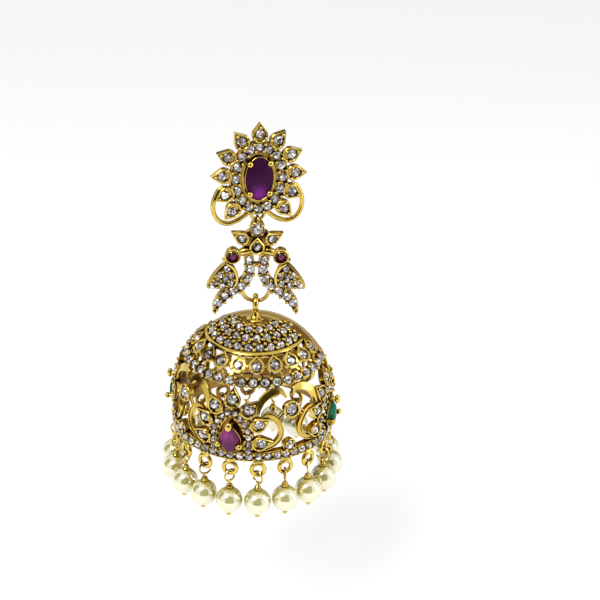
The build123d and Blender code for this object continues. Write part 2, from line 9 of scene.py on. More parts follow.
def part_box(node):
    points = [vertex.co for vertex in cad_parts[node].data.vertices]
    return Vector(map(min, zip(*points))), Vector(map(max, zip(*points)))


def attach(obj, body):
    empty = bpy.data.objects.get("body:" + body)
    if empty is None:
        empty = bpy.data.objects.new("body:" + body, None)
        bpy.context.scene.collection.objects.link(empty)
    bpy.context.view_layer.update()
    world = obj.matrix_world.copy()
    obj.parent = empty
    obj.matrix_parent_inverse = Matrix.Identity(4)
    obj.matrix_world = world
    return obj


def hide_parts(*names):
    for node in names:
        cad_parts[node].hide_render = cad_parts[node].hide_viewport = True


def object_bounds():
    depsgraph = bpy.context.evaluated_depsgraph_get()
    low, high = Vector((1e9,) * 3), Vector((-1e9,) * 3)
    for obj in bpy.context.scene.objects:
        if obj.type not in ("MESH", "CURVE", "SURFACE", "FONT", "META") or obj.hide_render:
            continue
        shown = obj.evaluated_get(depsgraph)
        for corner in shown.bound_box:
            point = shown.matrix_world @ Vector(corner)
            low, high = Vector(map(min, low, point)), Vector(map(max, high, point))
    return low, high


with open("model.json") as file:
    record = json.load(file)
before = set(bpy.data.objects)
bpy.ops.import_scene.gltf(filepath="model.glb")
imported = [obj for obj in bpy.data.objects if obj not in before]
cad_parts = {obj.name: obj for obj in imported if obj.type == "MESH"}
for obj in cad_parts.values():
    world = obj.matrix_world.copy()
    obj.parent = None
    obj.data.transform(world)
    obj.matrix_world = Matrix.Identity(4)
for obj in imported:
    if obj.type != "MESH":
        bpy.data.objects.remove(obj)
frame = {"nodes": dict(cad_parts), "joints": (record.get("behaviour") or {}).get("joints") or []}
cad_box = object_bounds()

# The looks of a jhumka earring: an oval stud, a plate of two birds and a pierced bell with pearls.
# Shapes are worked out in millimetres in the frame's axes, and turned into metres when a piece is
# made. Angles are in degrees.
MM = 0.001


# ---- places read from the frame ----
def node_box(node):
    """Lowest and highest corner of a CAD node."""
    low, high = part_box(node)
    return np.array(low) / MM, np.array(high) / MM


def node_middle(node):
    return sum(node_box(node)) / 2


JOINTS = {joint["name"]: joint for joint in frame["joints"]}
STUD_PIVOT = np.array(JOINTS["birds_swing"]["pos_m"]) / MM  # lowest point of the stud's eye
BIRD_PIVOT = np.array(JOINTS["bell_swing"]["pos_m"]) / MM   # lowest point of the birds' loop
SWING_AXIS = JOINTS["bell_swing"]["axis"]
HANG_Y = STUD_PIVOT[1]  # plane in which everything hangs
PEARLS = sorted(n for n in frame["nodes"] if n.startswith("pearl_"))
FRONT_PEARL = node_middle(PEARLS[0])  # it hangs under the bell's front gem
PEARL_R = float(node_box(PEARLS[0])[1][2] - FRONT_PEARL[2])

# ---- driving dimensions, in millimetres ----
BELL_R = 12  # outer radius of the bell's wall
BELL_WALL = 0.8
BELL_STRAIGHT = 5.8  # straight wall, below the half sphere
BELL_DROP = 20.65    # from the birds' loop down to the rim
RIM_Z = BIRD_PIVOT[2] - BELL_DROP
SPHERE_Z = RIM_Z + BELL_STRAIGHT
DRESSED = 96                    # the upper bell carries stones this far each side of its front gem
MOTIFS = (0, 87.5, 180, 272.5)  # azimuths of the four flowers, from the front gem
# Turns of the bell's front gem and of the birds' plate from the stud's front
BELL_TURN = degrees(atan2(FRONT_PEARL[0], HANG_Y - FRONT_PEARL[1]))
BIRD_TURN = degrees(atan2(SWING_AXIS[1], SWING_AXIS[0]))
STUD_FACE = -1  # face of the stud plate
BIRD_FRONT, BIRD_BACK = HANG_Y - 0.7, HANG_Y + 0.6
LOOP_PLAY = 0.05  # between a loop and the loop that hangs in it
SHARP = 38        # an edge that bends more than this stays sharp


# ---- shapes ----
class Shape:
    """Points and faces of one piece."""

    def __init__(self):
        self.points = []
        self.faces = []
        self.count = 0

    def add(self, part, place=None):
        """Adds a part's points and faces, put where place says, and returns the shape."""
        points, faces = part
        points = np.array(points, float)
        if place is not None:
            points = place(points)
        self.points.append(points)
        self.faces += [tuple(i + self.count for i in f) for f in faces]
        self.count += len(points)
        return self


def latitude(height):
    """Angle up the half sphere of a height above the rim, in radians."""
    return asin(min(1, max(0, height - BELL_STRAIGHT) / BELL_R))


def wall_at(height, depth=0):
    """Radius and height of a point that deep under the bell's surface."""
    lat, r = latitude(height), BELL_R - depth
    return r * cos(lat), min(height, BELL_STRAIGHT) + r * sin(lat)


def chart(azimuth, height):
    """Place in the bell's flat chart: x round the wall, y up it from the rim."""
    up = min(height, BELL_STRAIGHT) + BELL_R * latitude(height)
    return BELL_R * radians(azimuth), up


def spun(points, turn):
    """The x and y of points turned about the z axis."""
    c, s = cos(radians(turn)), sin(radians(turn))
    return points[:, 0] * c - points[:, 1] * s, points[:, 0] * s + points[:, 1] * c


def on_bell(azimuth, height, lift=0, turn=0):
    """Bends a flat part onto the bell: x runs round the wall, y up, z outwards."""
    radius, start = wall_at(height)[0], chart(0, height)[1]

    def place(p):
        x, y = spun(p, turn)
        a = np.radians(azimuth + BELL_TURN) + x / radius
        along = start + y
        lat = np.maximum(along - BELL_STRAIGHT, 0) / BELL_R
        out = BELL_R + p[:, 2] + lift
        z = RIM_Z + np.minimum(along, BELL_STRAIGHT) + out * np.sin(lat)
        r = out * np.cos(lat)
        return np.stack([r * np.sin(a), HANG_Y - r * np.cos(a), z], axis=1)

    return place


def on_plate(x0, z0, face, turn=0):
    """Stands a flat part up on a plate that faces the front: z comes forward."""
    def place(p):
        x, y = spun(p, turn)
        return np.stack([x0 + x, face - p[:, 2], z0 + y], axis=1)

    return place


def turned(points, turn):
    """Points turned about the line that everything hangs on."""
    x, y = spun(points - [0, HANG_Y, 0], turn)
    return np.stack([x, HANG_Y + y, points[:, 2]], axis=1)


def grid(rows, width, loop_rows=False, loop_width=True):
    """Quads over rows of points, looped from the last row to the first, or along each row."""
    faces = []
    for k in range(rows if loop_rows else rows - 1):
        a, b = k * width, (k + 1) % rows * width
        for i in range(width if loop_width else width - 1):
            faces.append((a + i, a + (i + 1) % width, b + (i + 1) % width, b + i))
    return faces


def ends(rows, width):
    return [tuple(reversed(range(width))), tuple(range((rows - 1) * width, rows * width))]


def unit(vectors):
    return vectors / np.linalg.norm(vectors, axis=-1, keepdims=True)


def across_of(flat):
    """Each vector of the plane, a quarter turn to the right."""
    return np.stack([flat[:, 1], -flat[:, 0]], axis=1)


def raised(flat, level):
    """Points of the plane, put at a level."""
    return np.column_stack([flat, np.full(len(flat), level)])


def layers(rows):
    """A closed solid through rows of points."""
    size = len(rows), len(rows[0])
    return np.vstack(rows), grid(*size) + ends(*size)


def stack(outline, rings):
    """A closed solid: for each (inset, level), the outline drawn in. Outlines run anticlockwise."""
    outline = np.array(outline, float)
    out = across_of(unit(np.roll(outline, -1, axis=0) - np.roll(outline, 1, axis=0)))
    return layers([raised(outline - out * inset, level) for inset, level in rings])


def plate(outline, low, high, bevel=0.12):
    """A flat solid with a rounded upper edge."""
    third = 0.3 * bevel
    return stack(outline, [(0, low), (0, high - bevel), (third, high - third), (bevel, high)])


def dish(outline, wall, base, floor, height, bevel=0.08):
    """A setting: a rimmed cell with a sunk floor, on a skirt down to base."""
    rim = [(0, height - bevel), (bevel, height), (wall - bevel, height), (wall, height - bevel)]
    return stack(outline, [(0, base), *rim, (wall, floor)])


def corners(count, radius, level=0, shift=0):
    """A level ring of points, the first of them shift steps past the x axis."""
    t = (np.arange(count) + shift) * 2 * pi / count
    return raised(radius * np.stack([np.cos(t), np.sin(t)], axis=1), level)


def circle(radius, count=24):
    return corners(count, radius)[:, :2]


def oval(half_x, half_y, count=48):
    return circle(1, count) * np.array([half_x, half_y])


def teardrop(radius, reach, count=26):
    """A circle drawn out to a point along +y, anticlockwise from the tip."""
    bend = acos(radius / reach)
    t = np.linspace(pi / 2 + bend, pi / 2 - bend + 2 * pi, count)
    arc = np.stack([radius * np.cos(t), radius * np.sin(t)], axis=1)
    tip = np.array([0, reach])
    flanks = [0.45 * tip + 0.55 * arc[i] for i in (0, -1)]
    return np.vstack([[tip], [flanks[0]], arc, [flanks[1]]])


def smooth(points, steps=8, closed=False):
    """A smooth row of points through the given ones, of any width."""
    p = np.array(points, float)
    n = len(p)
    out = []
    for i in range(n if closed else n - 1):
        near = [i - 1, i, i + 1, i + 2]
        a, b, c, d = np.take(p, near, axis=0, mode="wrap" if closed else "clip")
        for t in np.arange(steps) / steps:
            bend = (2 * a - 5 * b + 4 * c - d) * t * t + (3 * b - a - 3 * c + d) * t ** 3
            out.append(0.5 * (2 * b + (c - a) * t + bend))
    return np.array(out if closed else out + [p[-1]])


def strip(path, section):
    """A solid along a flat path of (x, y, width).

    Its section is rows of (share of half the width, level), anticlockwise seen along the path."""
    path = np.array(path, float)
    flat, half = path[:, :2], path[:, 2:3] / 2
    side = across_of(unit(np.gradient(flat, axis=0)))
    n, count = len(path), len(section)
    rows = [raised(flat + side * half * share, level) for share, level in section]
    first = tuple(k * n for k in range(count))
    last = tuple(k * n + n - 1 for k in reversed(range(count)))
    return np.vstack(rows), grid(count, n, True, False) + [first, last]


def ribbon(path, low, high):
    """A flat band along a path of (x, y, width), with bevelled edges."""
    bevel, flat = 0.1, 0.78
    top = [(1, high - bevel), (flat, high), (-flat, high), (-1, high - bevel)]
    return strip(path, [(-1, low), (1, low), *top])


def web(reaches, low=-0.56, high=-0.4, columns=9):
    """A closed sheet in the bell's chart: at each height it reaches as far to both sides."""
    shares = np.linspace(-1, 1, columns)
    points = []
    for azimuth, height in reaches:
        reach, y = chart(azimuth, height)
        points += [(reach * share, y, high) for share in shares]
        points += [(reach * share, y, low) for share in shares[::-1]]
    rows, width = len(reaches), 2 * columns
    first = [(k + 1, k, width - 1 - k, width - 2 - k) for k in range(columns - 1)]
    last = [tuple((rows - 1) * width + i for i in reversed(face)) for face in first]
    return np.array(points), grid(rows, width) + first + last


SKEW = [0.31, 0.17, 0.93]  # a way that no wire runs, from which a tube's first side is taken


def tube(path, radii, sides=10):
    """Round wire along a path, with one radius or one for each point."""
    path = np.array(path, float)
    n = len(path)
    radii = np.broadcast_to(np.array(radii, float), (n,))
    ahead = unit(np.gradient(path, axis=0))
    side = np.cross(ahead[0], SKEW)
    round_one = corners(sides, 1)
    rows = []
    for i in range(n):
        side = unit(side - ahead[i] * np.dot(side, ahead[i]))
        across = np.stack([side, np.cross(ahead[i], side)])
        rows.append(path[i] + radii[i] * round_one[:, :2] @ across)
    return layers(rows)


def ring(centre, ring_r, wire_r, across, count=28, sides=10):
    """A ring of round wire whose hole looks along the level direction across."""
    across = unit(np.array(across, float))
    one = unit(np.cross(across, [0, 0, 1]))
    outs = circle(1, count) @ np.stack([one, np.cross(across, one)])
    rows = []
    for out in outs:
        rows.append(centre + ring_r * out + wire_r * circle(1, sides) @ np.stack([out, -across]))
    return np.vstack(rows), grid(count, sides, True)


def ball(radius, sides=10, rows=6, squash=1):
    """A ball, flattened along z by the share squash."""
    points = [(0, 0, -1)]
    for j in range(1, rows):
        lat = pi * j / rows
        points += corners(sides, sin(lat), -cos(lat)).tolist()
    points.append((0, 0, 1))
    top = len(points) - 1
    faces = [tuple(1 + i for i in face) for face in grid(rows - 1, sides)]
    for i in range(sides):
        n = (i + 1) % sides
        faces += [(0, 1 + n, 1 + i), (top, top - sides + i, top - sides + n)]
    return np.array(points) * radius * [1, 1, squash], faces


def lathe(profile, reach=180, segments=144, middle=0):
    """A closed section of (radius, height above the rim), turned about the bell's axis.

    It goes reach degrees to each side of the azimuth middle, and all round at 180."""
    whole = reach >= 180
    count = segments if whole else segments + 1
    rows = []
    for i in range(count):
        a = radians(BELL_TURN + middle - reach + 2 * reach * i / segments)
        rows += [(r * sin(a), HANG_Y - r * cos(a), RIM_Z + h) for r, h in profile[::-1]]
    faces = grid(count, len(profile), whole)
    return rows, faces if whole else faces + ends(count, len(profile))


def cut_body(outline, rows):
    """A cut gem: each row is the outline drawn in by a share, at its level."""
    return layers([raised(outline * share, level) for share, level in rows])


# A brilliant's rings of corners: how many, shares of its radius and height, and their shift
BRILLIANT = [
    (8, 0.56, 0.95, 0), (8, 0.8, 0.627, 0.5), (16, 1, 0.285, 0), (16, 0.92, 0, 0),
]


def brilliant(radius, height):
    """A round cut stone: table, stars, kites, sixteen girdle facets and a flat back."""
    rings = [corners(n, r * radius, h * height, shift) for n, r, h, shift in BRILLIANT]
    star, girdle, foot = 8, 16, 32
    faces = [tuple(range(star))]
    for k in range(star):
        a, b, c = (girdle + (2 * k + step) % 16 for step in (0, 1, 2))
        faces += [(k, star + k, (k + 1) % 8), (star + (k - 1) % 8, a, star + k, k)]
        faces += [(star + k, a, b), (star + k, b, c)]
    for k, n in zip(range(16), [*range(1, 16), 0]):
        faces.append((girdle + k, foot + k, foot + n, girdle + n))
    faces.append(tuple(reversed(range(foot, foot + 16))))
    return np.vstack(rings), faces


BEAD = ball(1, 8, 5)


def bead(radius, lift, x=0, y=0):
    return BEAD[0] * radius + [x, y, lift], BEAD[1]


# ---- materials ----
WHITE = (1, 1, 1)


def grey(level):
    return (level, level, level)


class Look:
    """A material as it is built up."""

    def __init__(self, name):
        self.material = bpy.data.materials.new(name)
        self.material.use_nodes = True
        self.nodes = self.material.node_tree.nodes
        self.links = self.material.node_tree.links
        self.shader = self.nodes["Principled BSDF"]
        self.where = self.nodes.new("ShaderNodeTexCoord").outputs

    def feed(self, node, inputs):
        """Gives a node its inputs, constants or other nodes' outputs."""
        for key, value in inputs.items():
            if isinstance(value, bpy.types.NodeSocket):
                self.links.new(value, node.inputs[key])
            else:
                node.inputs[key].default_value = value

    def node(self, kind, inputs, **settings):
        node = self.nodes.new("ShaderNode" + kind)
        for key, value in settings.items():
            setattr(node, key, value)
        self.feed(node, inputs)
        return node.outputs

    def dress(self, **inputs):
        """Gives the shader its inputs, whose names have a _ for each space."""
        self.feed(self.shader, {key.replace("_", " "): value for key, value in inputs.items()})

    def noise(self, scale, detail=3):
        """Noise fixed to the piece, with that many features a metre."""
        inputs = {"Scale": scale, "Detail": detail, "Vector": self.where["Object"]}
        return self.node("TexNoise", inputs)["Fac"]

    def cells(self, space, scale):
        """A random red and green for each small cell of the piece's space."""
        cells = self.node("TexVoronoi", {"Scale": scale, "Vector": self.where[space]})
        return self.node("SeparateColor", {"Color": cells["Color"]})

    def shelter(self, reach):
        """How open the surface is within that reach."""
        return self.node("AmbientOcclusion", {"Distance": reach * MM}, samples=6)["AO"]

    def ramp(self, source, stops, blend="LINEAR"):
        """The colour for a value, from stops of (value, colour)."""
        node = self.nodes.new("ShaderNodeValToRGB")
        elements = node.color_ramp.elements
        for element, (value, colour) in zip(elements, (stops[0], stops[-1])):
            element.position, element.color = value, (*colour, 1)
        for value, colour in stops[1:-1]:
            elements.new(value).color = (*colour, 1)
        node.color_ramp.interpolation = blend
        self.links.new(source, node.inputs["Fac"])
        return node.outputs["Color"]

    def times(self, one, other):
        inputs = {"Factor": 1, "A": one, "B": other}
        return self.node("Mix", inputs, data_type="RGBA", blend_type="MULTIPLY")["Result"]

    def bump(self, height, strength, depth):
        """Raises the surface by a value, at most by depth."""
        inputs = {"Strength": strength, "Distance": depth * MM, "Height": height}
        self.dress(Normal=self.node("Bump", inputs)["Normal"])


# Painted shade: gold darkened to brown in its recesses, by how open the place is
PAINTED_RECESS_SHADE = [(0, (0.04, 0.013, 0.006)), (0.35, (0.16, 0.062, 0.02)), (0.62, (0.43, 0.262, 0.06))]
# Painted glints and reflections for the facets of clear stones, from near black to white
PAINTED_GLINTS = [
    (0, (0.025, 0.022, 0.022)), (0.18, (0.13, 0.115, 0.115)), (0.4, (0.3, 0.275, 0.28)),
    (0.62, (0.5, 0.45, 0.46)), (0.82, (0.95, 0.93, 0.93)),
]


def gold(name, shelter=0.75, unshaded=(0.77, 0.585, 0.13)):
    """Polished gold plating with painted shade: plain gold in the open, painted darker and browner
    where it is sheltered.
    """
    look = Look(name)
    # painted shade: the colour darkens towards brown where the surface is sheltered
    tone = look.ramp(look.shelter(shelter), [*PAINTED_RECESS_SHADE, (0.86, unshaded)])
    patches = look.noise(900)
    tint = look.ramp(patches, [(0.3, (0.84, 0.78, 0.68)), (0.7, WHITE)])
    polish = look.ramp(patches, [(0.25, grey(0.1)), (0.75, grey(0.22))])
    look.dress(Metallic=1, Base_Color=look.times(tone, tint), Roughness=polish)
    look.bump(look.noise(2600, 2), 0.18, 0.05)
    return look.material


def clear_stone(name):
    """Clear cut stones: each small cell painted a random glint or dark reflection, from near black
    to white, faintly tinted grey-green or lilac.
    """
    look = Look(name)
    values = look.cells("Object", 3400)
    # painted glints: each small cell gets a random brightness
    painted_glint = look.ramp(values["Red"], PAINTED_GLINTS, "CONSTANT")
    cast = look.noise(700, 1)
    tint = look.ramp(cast, [(0.35, (0.92, 1, 0.86)), (0.65, (1, 0.92, 0.94))])
    look.dress(Base_Color=look.times(painted_glint, tint), Roughness=0.06, IOR=2.15, Metallic=0.25)
    look.bump(values["Green"], 0.5, 0.08)
    return look.material


def coloured_gem(name, deep, bright, gloss, painted_light_at, reach, shade_facets=True):
    """A coloured gem with painted light: bright round one place, in mm, and deep beyond its reach;
    its facets may also be painted lighter or darker, as painted shade.
    """
    look = Look(name)
    # painted light: the colour is bright near one point, as light shining through the gem
    ends_of_line = {0: look.where["Object"], 1: Vector(painted_light_at) * MM}
    away = look.node("VectorMath", ends_of_line, operation="DISTANCE")["Value"]
    share = look.node("MapRange", {"From Max": reach * MM, "Value": away})["Result"]
    clouded = {0: look.noise(900, 2), 1: 0.3, 2: share}
    depth = look.node("Math", clouded, operation="MULTIPLY_ADD")["Value"]
    middle = tuple(0.6 * a + 0.4 * b for a, b in zip(deep, bright))
    colour = look.ramp(depth, [(0.3, bright), (0.65, middle), (1, deep)])
    if shade_facets:
        # painted shade: each facet gets a random grey, as if lit differently
        facets = look.cells("Normal", 7)["Red"]
        colour = look.times(colour, look.ramp(facets, [(0.1, grey(0.62)), (0.9, WHITE)]))
    look.dress(Base_Color=colour, Roughness=0.08, IOR=1.5, Specular_IOR_Level=gloss)
    return look.material


def pearl(name):
    """Imitation pearl: olive under bright nacre, painted yellower near its neighbours as a painted
    reflection of the gold and pearls beside it.
    """
    look = Look(name)
    tone = look.ramp(look.noise(500), [(0.3, (0.62, 0.57, 0.22)), (0.7, (0.7, 0.66, 0.29))])
    # painted reflection: yellower where neighbours are near
    painted_reflection = look.ramp(look.shelter(5), [(0.6, (0.72, 0.65, 0.02)), (0.97, WHITE)])
    look.dress(Base_Color=look.times(tone, painted_reflection), Roughness=0.13, IOR=3, Specular_IOR_Level=1)
    look.dress(Coat_Weight=0.5, Coat_Roughness=0.05)
    look.bump(look.noise(1800, 2), 0.06, 0.04)
    return look.material


GOLD = gold("gold")
BIRD_GOLD = gold("gold_birds", 0.95)
# Painted shade: a dark copy of the gold for the sheets behind the pear gems
SHADE_SHEET_GOLD = gold("gold_shade_sheet", 3, (0.16, 0.08, 0.02))
# Painted shade: a darker, browner copy of the gold for the bell's inside faces
SHADED_INSIDE_GOLD = gold("gold_inside_painted_shade", 1.2, (0.3, 0.17, 0.045))
CLEAR = clear_stone("clear_stone")
PEARL = pearl("pearl")


# ---- making pieces ----
def stand(name, data, centre=(0, 0, 0), target=None, forward="Z"):
    """Puts an object into the scene, turned towards the target if there is one."""
    thing = bpy.data.objects.new(name, data)
    thing.location = centre
    if target is not None:
        thing.rotation_mode = "QUATERNION"
        thing.rotation_quaternion = (Vector(target) - Vector(centre)).to_track_quat(forward, "Y")
    bpy.context.scene.collection.objects.link(thing)
    return thing


def make(name, shape, material, body, nodes=(), facets=False):
    """Makes the Blender piece of a shape, riding on its body and standing for its CAD nodes."""
    mesh = bpy.data.meshes.new(name)
    points = np.vstack(shape.points) * MM
    mesh.from_pydata(points.tolist(), [], shape.faces)
    mesh.update()
    if not facets:
        mesh.shade_smooth()
        mesh.set_sharp_from_angle(angle=radians(SHARP))
    mesh.materials.append(material)
    piece = stand(name, mesh)
    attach(piece, body)
    if nodes:
        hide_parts(*nodes)
    return piece


def stones(name, body, seats, nodes=()):
    """One piece of clear stones, each with a place, a radius and a height."""
    shape = Shape()
    for place, radius, height in seats:
        shape.add(brilliant(radius, height), place)
    make(name, shape, CLEAR, body, nodes, True)


def both_sides(rows):
    """Each row of a half pattern, and its mirror image where it is off the middle."""
    out = []
    for x, z, tip in rows:
        out.append((x, z, tip))
        if x:
            out.append((-x, z, 180 - tip))
    return out


def single_gem(piece, part, place, glow, material, colours, body, node):
    """A coloured gem as a piece of its own, painted bright round one of its places as painted
    light.
    """
    painted_light_at = place(np.array([glow], float))[0]
    gem = coloured_gem(material, painted_light_at=painted_light_at, **colours)
    make(piece, Shape().add(part, place), gem, body, [node], True)


# ---- settings ----
# A constant that is named after a claw is its lift and radius
CLAW_ROOT, CLAW_STEM = -0.3, 0.8  # level of a claw's foot, its stem as a share of its bead
# Beads of a pointed setting, in a cell of radius CELL_R, and its bed behind the round end
CELL_R, CELL_BACK, CELL_WALL, CELL_FLOOR, CELL_BEVEL = 1.2, 0.28, 0.3, 0.16, 0.06
CELL_BEADS = [(0, 0.98), (-0.85, -0.62), (0.85, -0.62)]


def claw(shape, place, lift, radius, x=0, y=0):
    """A bead on a short stem that holds a stone's edge."""
    shape.add(tube([(x, y, CLAW_ROOT), (x, y, lift)], radius * CLAW_STEM, 8), place)
    shape.add(bead(radius, lift, x, y), place)


def prong(shape, place, stem, sides, head_r, head_at, tall=1):
    """A stem, as the (level, radius) of its ends, with a flattened ball on it."""
    levels, radii = zip(*stem)
    shape.add(tube([(0, 0, level) for level in levels], radii, sides), place)
    points, faces = ball(head_r, 14, 9, 0.9)
    shape.add((points * [1, tall, 1] + [0, 0, head_at], faces), place)


def petal_cell(shape, place, radius, reach, base, height, bead_r, back=CELL_BACK):
    """A pointed setting, with three beads that hold its stone."""
    outline = teardrop(radius, reach + back) - [0, back]
    shape.add(dish(outline, CELL_WALL, base, CELL_FLOOR, height, CELL_BEVEL), place)
    for x, y in CELL_BEADS:
        claw(shape, place, height + 0.1, bead_r, x * radius / CELL_R, y)


# ---- stud ----
# Half axes and number of the small stones round the oval gem, and its own half axes
HALO_A, HALO_B, HALO_COUNT = 3.48, 4.75, 16
OVAL_A, OVAL_B = 2, 3.25
HALO_EDGE, GALLERY_EDGE, BEZEL_EDGE = 0.86, 0.66, 0.12
STUD_RIM = [(0, -0.7), (0, 0.2), (0.06, 0.27), (0.16, 0.27), (0.22, -0.08)]
GALLERY = dict(wall=0.12, base=-0.52, floor=-0.45, height=-0.02, bevel=0.04)
BEZEL = dict(wall=0.08, base=-0.47, floor=-0.1, height=0.46, bevel=0.03)
HALO_SPREAD, HALO_CLAW = 0.54, (0.38, 0.27)
OVAL_PRONGS = [(1.48, 2.42), (1.46, -2.16)]
OVAL_PRONG = dict(stem=[(-0.2, 0.3), (0.7, 0.3)], sides=10, head_r=0.47, head_at=0.82)
# Petals of the stud on its right half: x, z, the way their tips point
STUD_PETALS = [
    (0, 6.76, 90), (2.72, 5.75, 53), (4.74, 3.45, 22), (5.42, 0.62, -2), (4.97, -2.35, -28),
    (3.88, -4.9, -48),
]
STUD_PETAL = dict(radius=1.16, reach=1.64, base=-0.5, height=0.4, bead_r=0.27)
PETAL_BAR, BAR_LOW, BAR_HIGH = [(0, -0.6, 0.9), (0, -1.7, 0.9)], -0.44, -0.12
SCROLL = [
    (4.95, -1.2), (5.85, -1.8), (6.5, -3.3), (6.55, -5), (5.75, -6.45), (4.4, -6.98),
    (2.95, -6.55), (1.8, -5.75), (1.1, -5),
]
SCROLL_WIRE = 0.35
EYE_RING_R, EYE_RING_WIRE = 1, 0.25
# The ear post: places and radii from its foot on, and from its tip back
POST_R = 0.45
POST_FOOT = [(-0.1, 0.62), (0.25, 0.47), (0.4, POST_R)]
POST_TIP = [
    (2.6, POST_R), (2.45, 0.39), (2.2, 0.39), (2.05, POST_R), (0.5, POST_R), (0.15, 0.34),
    (0, 0.12),
]
# Stones: radius and height
HALO_STONE, PETAL_STONE = (0.69, 0.5), (0.7, 0.5)
HALO_LIFT, PETAL_SUNK = 0.02, 0.08
OVAL_CUT = [(1, -0.1), (1, 0.36), (0.93, 0.52), (0.8, 0.6)]
# The oval gem's colours, with painted light bright round one place and deep away from it
OVAL_RUBY = dict(
    deep=(0.032, 0.005, 0.028), bright=(0.17, 0.018, 0.18), gloss=0.06,
    painted_light_at=(0, STUD_FACE - 0.5, -2.2), reach=2, shade_facets=False,
)


def oval_row(shift=0, spread=0):
    """Places round the oval gem and their azimuths, some steps past the stones."""
    a, b = HALO_A + spread, HALO_B + spread
    turns = [2 * pi * (i + shift) / HALO_COUNT for i in range(HALO_COUNT)]
    return [(a * sin(t), b * cos(t), degrees(t)) for t in turns]


def post():
    """The ear post, with a rounded tip and a groove for the push-on back."""
    length = node_box("stud_frame")[1][1]
    steps = POST_FOOT + [(length - back, r) for back, r in POST_TIP]
    return tube([(0, y, 0) for y, _ in steps], [r for _, r in steps], 16)


def stud_metal():
    shape = Shape()
    flat = on_plate(0, 0, STUD_FACE)
    shape.add(stack(oval(HALO_A + HALO_EDGE, HALO_B + HALO_EDGE, 64), STUD_RIM), flat)
    for edge, sizes in ((GALLERY_EDGE, GALLERY), (BEZEL_EDGE, BEZEL)):
        shape.add(dish(oval(OVAL_A + edge, OVAL_B + edge), **sizes), flat)
    for x, z, tip in both_sides(STUD_PETALS):
        place = on_plate(x, z, STUD_FACE, tip - 90)
        petal_cell(shape, place, **STUD_PETAL)
        shape.add(ribbon(PETAL_BAR, BAR_LOW, BAR_HIGH), place)
    for spread in (-HALO_SPREAD, HALO_SPREAD):
        for x, z, _ in oval_row(0.5, spread):
            claw(shape, on_plate(x, z, STUD_FACE), *HALO_CLAW)
    for side in (-1, 1):
        for x, z in OVAL_PRONGS:
            prong(shape, on_plate(side * x, z, STUD_FACE), **OVAL_PRONG)
        wire = smooth(SCROLL, 6)
        path = np.column_stack([side * wire[:, 0], np.full(len(wire), HANG_Y), wire[:, 1]])
        shape.add(tube(path, SCROLL_WIRE, 12))
    eye = STUD_PIVOT + [0, 0, EYE_RING_R]
    shape.add(ring(eye, EYE_RING_R, EYE_RING_WIRE, (0, 1, 0), 32, 12))
    shape.add(post())
    return shape


def stud_gems():
    halo = [(on_plate(x, z, STUD_FACE + HALO_LIFT, -a), *HALO_STONE) for x, z, a in oval_row()]
    stones("stud_halo_gems", "stud", halo, ["stud_halo_stones"])
    seats = both_sides(STUD_PETALS)
    face = STUD_FACE - PETAL_SUNK
    petals = [(on_plate(x, z, face, tip), *PETAL_STONE) for x, z, tip in seats]
    stones("stud_petal_gems", "stud", petals, ["stud_petal_stones"])
    shape = Shape().add(cut_body(oval(OVAL_A, OVAL_B, 40), OVAL_CUT), on_plate(0, 0, STUD_FACE))
    ruby = coloured_gem("oval_ruby", **OVAL_RUBY)
    make("stud_oval_gem", shape, ruby, "stud", ["stud_oval_stone"])


# ---- birds ----
# Each row of a half pattern is x, z and, where there is a third number, a width or the way a tip
# points. Levels are measured forward from the front of the birds' plate.
TOP_STONE, TOP_SETTING_R, TOP_SETTING_WALL = (0, -7.85), 1.12, 0.12
TOP_BEAD_AT, TOP_BEAD = 0.98, (0.24, 0.4)
LOTUS = [(2.22, -9.3, 31), (0, -10.55, 90)]
LOTUS_SIDE = dict(radius=1, reach=1.86, height=0.42)
LOTUS_MIDDLE = dict(radius=1.12, reach=1.6, height=0.7)
LOTUS_CELL = dict(base=-0.6, bead_r=0.22, back=0.08)
BODY_STONES = [
    (1.12, -12.8), (0.92, -14.3), (1.2, -15.8), (2.15, -17.1), (3.42, -17.95), (4.62, -18.75),
    (5.6, -19.9),
]
BODY_PATH = [
    (1.3, -11.4, 1.2), (1.17, -12.6, 1.5), (0.97, -14.1, 1.42), (1.17, -15.6, 1.45),
    (2.05, -16.9, 1.5), (3.4, -17.85, 1.55), (4.65, -18.75, 1.55), (5.68, -20.05, 1.3),
    (6.1, -21.2, 0.8), (6.17, -21.65, 0.35),
]
WING_EDGE = [
    (4.3, -13.4), (3.3, -14.25), (2.85, -15.5), (2.95, -16.75), (4.1, -17.8), (5.9, -17.6),
    (7.4, -17.3), (5.95, -14.85),
]
WING_RIM = [
    (4.4, -13.4, 0.25), (3.4, -14.15, 0.4), (2.86, -15.5, 0.42), (3, -16.7, 0.35),
    (3.6, -17.5, 0.2),
]
WING_STONES = [
    (4.35, -14.25), (5.35, -15.3), (3.65, -15.35), (4.55, -15.95), (5.95, -16.45), (3.75, -16.65),
    (5.05, -17), (6.55, -17.05),
]
WING_BEADS = [
    (4.95, -14.7), (3.95, -14.8), (4.8, -15.2), (3.2, -16), (4.1, -16.2), (5.25, -16.15),
    (4.4, -17), (5.65, -15.85), (6.3, -16.1), (5.85, -17.25), (6.5, -16.6), (5.5, -16.6),
    (4.45, -17.5), (7.1, -17.2), (3.3, -14.95),
]
TAIL_BEADS = [(5.75, -20.95), (6.1, -21.4), (6.2, -20.45)]
BODY_SPREAD, BODY_CLAW = 0.66, (0.25, 0.26)
WING_CLAW = (0.3, 0.24)
BIRD_EYE, EYE_R = (3.55, -12.15), 1.2
BEAK = [(3.95, -13, 0.7), (4.55, -12.9, 0.5), (5.05, -13, 0.1)]
